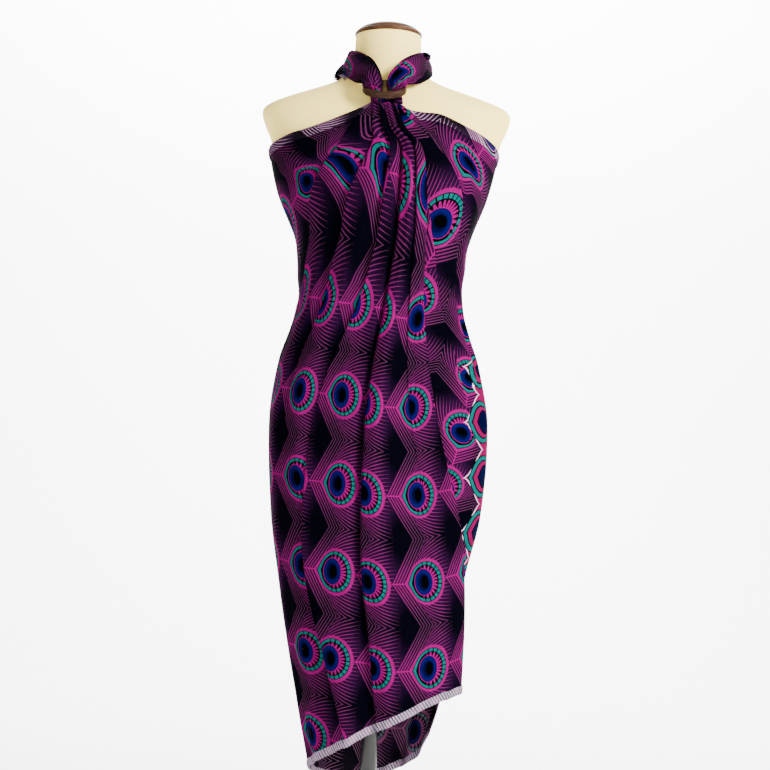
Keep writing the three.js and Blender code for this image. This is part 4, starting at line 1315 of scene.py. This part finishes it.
def buckle(material):
    """The buckle in its place, cut from shell."""
    mesh = buckle_mesh({key: value * MM for key, value in BUCKLE.items()})
    turned = Matrix.Rotation(math.radians(BUCKLE_TILT), 4, "X")
    mesh.transform(Matrix.Translation(Vector(BUCKLE_CENTRE) * MM) @ turned)
    mesh.materials.clear()
    return finished("buckle", mesh, {}, [material], 40)


def torso(material):
    """The dress form's body, from its lower edge to the top of its neck."""
    at = {name: follow(FORM_SECTIONS, "z", name) for name in ("half", "front", "back")}
    angle = np.linspace(0, 2 * math.pi, 160, endpoint=False)
    rings = []
    for z in np.linspace(FORM["bottom"], FORM["neck_top"], 190):
        depth = np.where(np.cos(angle) > 0, at["front"](z), at["back"](z))
        bulge = squared(angle, smooth((FORM["shoulder"] - z) / 60))
        x, y = at["half"](z) * np.sin(angle) * bulge, -depth * np.cos(angle) * bulge
        rings.append(np.stack([x, y, np.full_like(x, z)], -1) * MM)
    return solid_of_rings("form_torso", np.array(rings), material)


def rounded(radius, low, high, edge):
    """A disc's or a rod's profile with rounded rims: radius and height pairs, from low to high."""
    arc = np.linspace(0, math.pi / 2, 6)
    lower = [(radius - edge + edge * math.sin(a), low + edge - edge * math.cos(a)) for a in arc]
    upper = [(radius - edge + edge * math.cos(a), high - edge + edge * math.sin(a)) for a in arc]
    return lower + upper


def cap_profile():
    """The neck's wooden cap: a short upright edge and a low dome."""
    low = (FORM["neck_top"] + GAP) * MM
    radius, thickness, crown = CAP["radius"], CAP["thickness"], CAP["crown"]
    start = 0.3  # radians, where the dome leaves the edge
    points = [(radius - 1.2, -2.5), (radius - 0.4, -2.2), (radius, -1.2), (radius, thickness * 0.6)]
    for angle in np.linspace(start, math.pi / 2, 26)[:-1]:
        height = thickness + crown * (math.sin(angle) - math.sin(start))
        points.append(((radius - 1) * math.cos(angle) ** 0.8, height))
    return [(r * MM, low + h * MM) for r, h in points]


# ---------------------------------------------------------------- the piece list


def panels(both, reverse, thread):
    """The wrap's three stretches, with their hems."""

    def on_second_tuck(column):
        return column["lip"] == 1

    def at_last_edge(column):
        return column["left"] == len(UNDER_TUCKS) and column["f"] == 1

    def past_middle(column):
        return column["f"] >= 0.5

    front = build_panel(
        "front_panel", FRONT, FRONT_TUCKS, front_wrinkle, 2.6, spaced_rows(150), both,
        mapping=(on_second_tuck, -1, petals_front, 0),
        hems=[
            ("top_hem_left", True, FRONT_GATHERED, False, reverse),
            ("bottom_hem_front", False, 0, True, thread),
        ],
    )
    under = build_panel(
        "under_panel", UNDER, UNDER_TUCKS, under_wrinkle, 2.8, spaced_rows(130), both,
        mapping=(at_last_edge, 1, petals_under, 70),
        hems=[("top_hem_right", True, UNDER_GATHERED, False, reverse)],
    )
    back = build_panel(
        "back_panel", BackPanel(), [], back_wrinkle, 2.8, spaced_rows(140), both,
        mapping=(past_middle, 1, petals_back, 0),
        hems=[
            ("top_hem_back", True, 0, False, reverse),
            ("bottom_hem_back", False, 0, True, thread),
        ],
    )


def gathers(both, cloth, thread):
    """The gathered corners round the neck, their knot and their loose ends."""
    left, left_flat = strand(
        "neck_strand_left", LEFT_START + ROUND_THE_NECK, -1, 9, both, (0.022, -0.006)
    )
    moved = [
        (x - RIGHT_STARTS_NEARER * float(smooth((2 - i) / 2)), *rest)
        for i, (x, *rest) in enumerate(ROUND_THE_NECK)
    ]
    right, right_flat = strand(
        "neck_strand_right", RIGHT_START + moved, 1, 10, both, (0.078, 0.087)
    )
    tied = stands_for(knot(cloth), "nape_knot")
    upright, across = np.array([0.0, 0, 1]), np.array([1.0, 0, 0])
    tail_left, tail_left_flat = tail("tail_left", TAIL_LEFT, upright, both, (0.2, 0.32))
    tail_right, tail_right_flat = tail("tail_right", TAIL_RIGHT, across, both, (0.5, 0.1))
    roll = tube("neck_roll", ROLL, cloth, (0.03, 0.05))
    for loose in loose_threads(thread):
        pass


def hard_pieces():
    """The buckle, the dress form and its stand."""
    shell_wood = wood_material(
        "coconut_shell", (0.012, 0.005, 0.0025), (0.034, 0.0155, 0.008), (1, 6, 6), 0.4
    )
    cap_wood = wood_material(
        "cap_wood", (0.024, 0.01, 0.004), (0.085, 0.035, 0.014), (1, 8, 8), 0.45
    )
    # the pole and the base share this steel, whose dark colour is painted shade
    steel = steel_with_painted_shade()
    pole = turned_piece("stand_pole", rounded(**POLE), steel, 64)
    base = turned_piece("stand_base", rounded(**BASE), steel, 160)
    stands_for(buckle(shell_wood), "buckle")
    stands_for(torso(form_material()), "form_torso")
    stands_for(turned_piece("neck_cap", cap_profile(), cap_wood, 128), "neck_cap")
    stands_for(pole, "stand_pole")
    stands_for(base, "stand_base")


def build():
    cloth, reverse, thread = cloth_material(), reverse_material("cloth_reverse", 0.6), hem_material()
    both = [cloth, reverse_material("cloth_inside", 0.25)]
    panels(both, reverse, thread)
    gathers(both, cloth, thread)
    hard_pieces()


# ---------------------------------------------------------------- studio

# The camera's place in metres, its roll in degrees and its lens in millimetres.
CAMERA = {"x": 0.0096, "y": -2.1, "z": 0.957, "roll": -1.57, "lens": 61.34}
# Metres: where the floor starts and bends, where the wall stands, and how far both reach.
FLOOR = {"near": -6.0, "bends_at": 1.6, "wall": 3.2, "half_width": 7.0, "top": 7.0, "drop": 0.0002}
DAYLIGHT = 0.7  # strength of the even light from all round
# Soft lamps: places, aims and sizes in metres.
LAMPS = table(
    "name place aim size watts",
    ("key", (2.2, -2.1, 2.4), (0, 0, 1.0), (0.8, 1.2), 370),
    ("fill", (-2.2, -2.4, 1.4), (0, 0, 0.9), (1.6, 1.8), 45),
    ("rim", (1.2, 2.0, 2.4), (0, 0, 1.1), (1.0, 1.4), 50),
    ("wall", (0, 0.9, 3.3), (0, 3.2, 2.6), (4.5, 0.8), 1200),
)


def floor_and_wall():
    """A pale floor that bends up into a wall behind the object."""
    bend = FLOOR["wall"] - FLOOR["bends_at"]
    profile = [(FLOOR["near"], 0.0), (FLOOR["bends_at"], 0.0)]
    for a in np.linspace(0, math.pi / 2, 24):
        profile.append((FLOOR["bends_at"] + bend * math.sin(a), bend * (1 - math.cos(a))))
    profile.append((FLOOR["wall"], FLOOR["top"]))
    wide = FLOOR["half_width"]
    points = np.array([(x, y, z - FLOOR["drop"]) for x in (-wide, wide) for y, z in profile])
    mesh = bpy.data.meshes.new("floor")
    mesh.from_pydata(points.tolist(), [], quads(2, len(profile), 0).tolist())
    mesh.polygons.foreach_set("use_smooth", [True] * len(mesh.polygons))
    material, tree, shader = new_material("floor", Roughness=0.9)
    paint = Paint(tree, (0.9, 0.9, 0.9)).over((0.88, 0.88, 0.88), noise(tree, 3.0))
    put(tree, shader.inputs["Base Color"], paint.colour)
    mesh.materials.append(material)
    placed("floor", mesh)


def studio():
    """The camera at the photo's viewing angle, the backdrop and soft light."""
    camera = bpy.data.cameras.new("camera")
    camera.lens = CAMERA["lens"]
    camera.sensor_width = 36
    viewer = placed("camera", camera)
    viewer.location = (CAMERA["x"], CAMERA["y"], CAMERA["z"])
    viewer.rotation_euler = (math.radians(90), math.radians(CAMERA["roll"]), 0)
    bpy.context.scene.camera = viewer

    floor_and_wall()
    world = bpy.data.worlds.new("studio")
    world.use_nodes = True
    background = world.node_tree.nodes["Background"]
    background.inputs["Color"].default_value = (1, 1, 1, 1)
    background.inputs["Strength"].default_value = DAYLIGHT
    bpy.context.scene.world = world

    for row in LAMPS:
        light = bpy.data.lights.new(row["name"], "AREA")
        light.shape, light.energy = "RECTANGLE", row["watts"]
        light.size, light.size_y = row["size"]
        lamp = placed(row["name"], light)
        lamp.location = row["place"]
        toward = Vector(row["aim"]) - Vector(row["place"])
        lamp.rotation_euler = toward.to_track_quat("-Z", "Y").to_euler()


studio()
build()
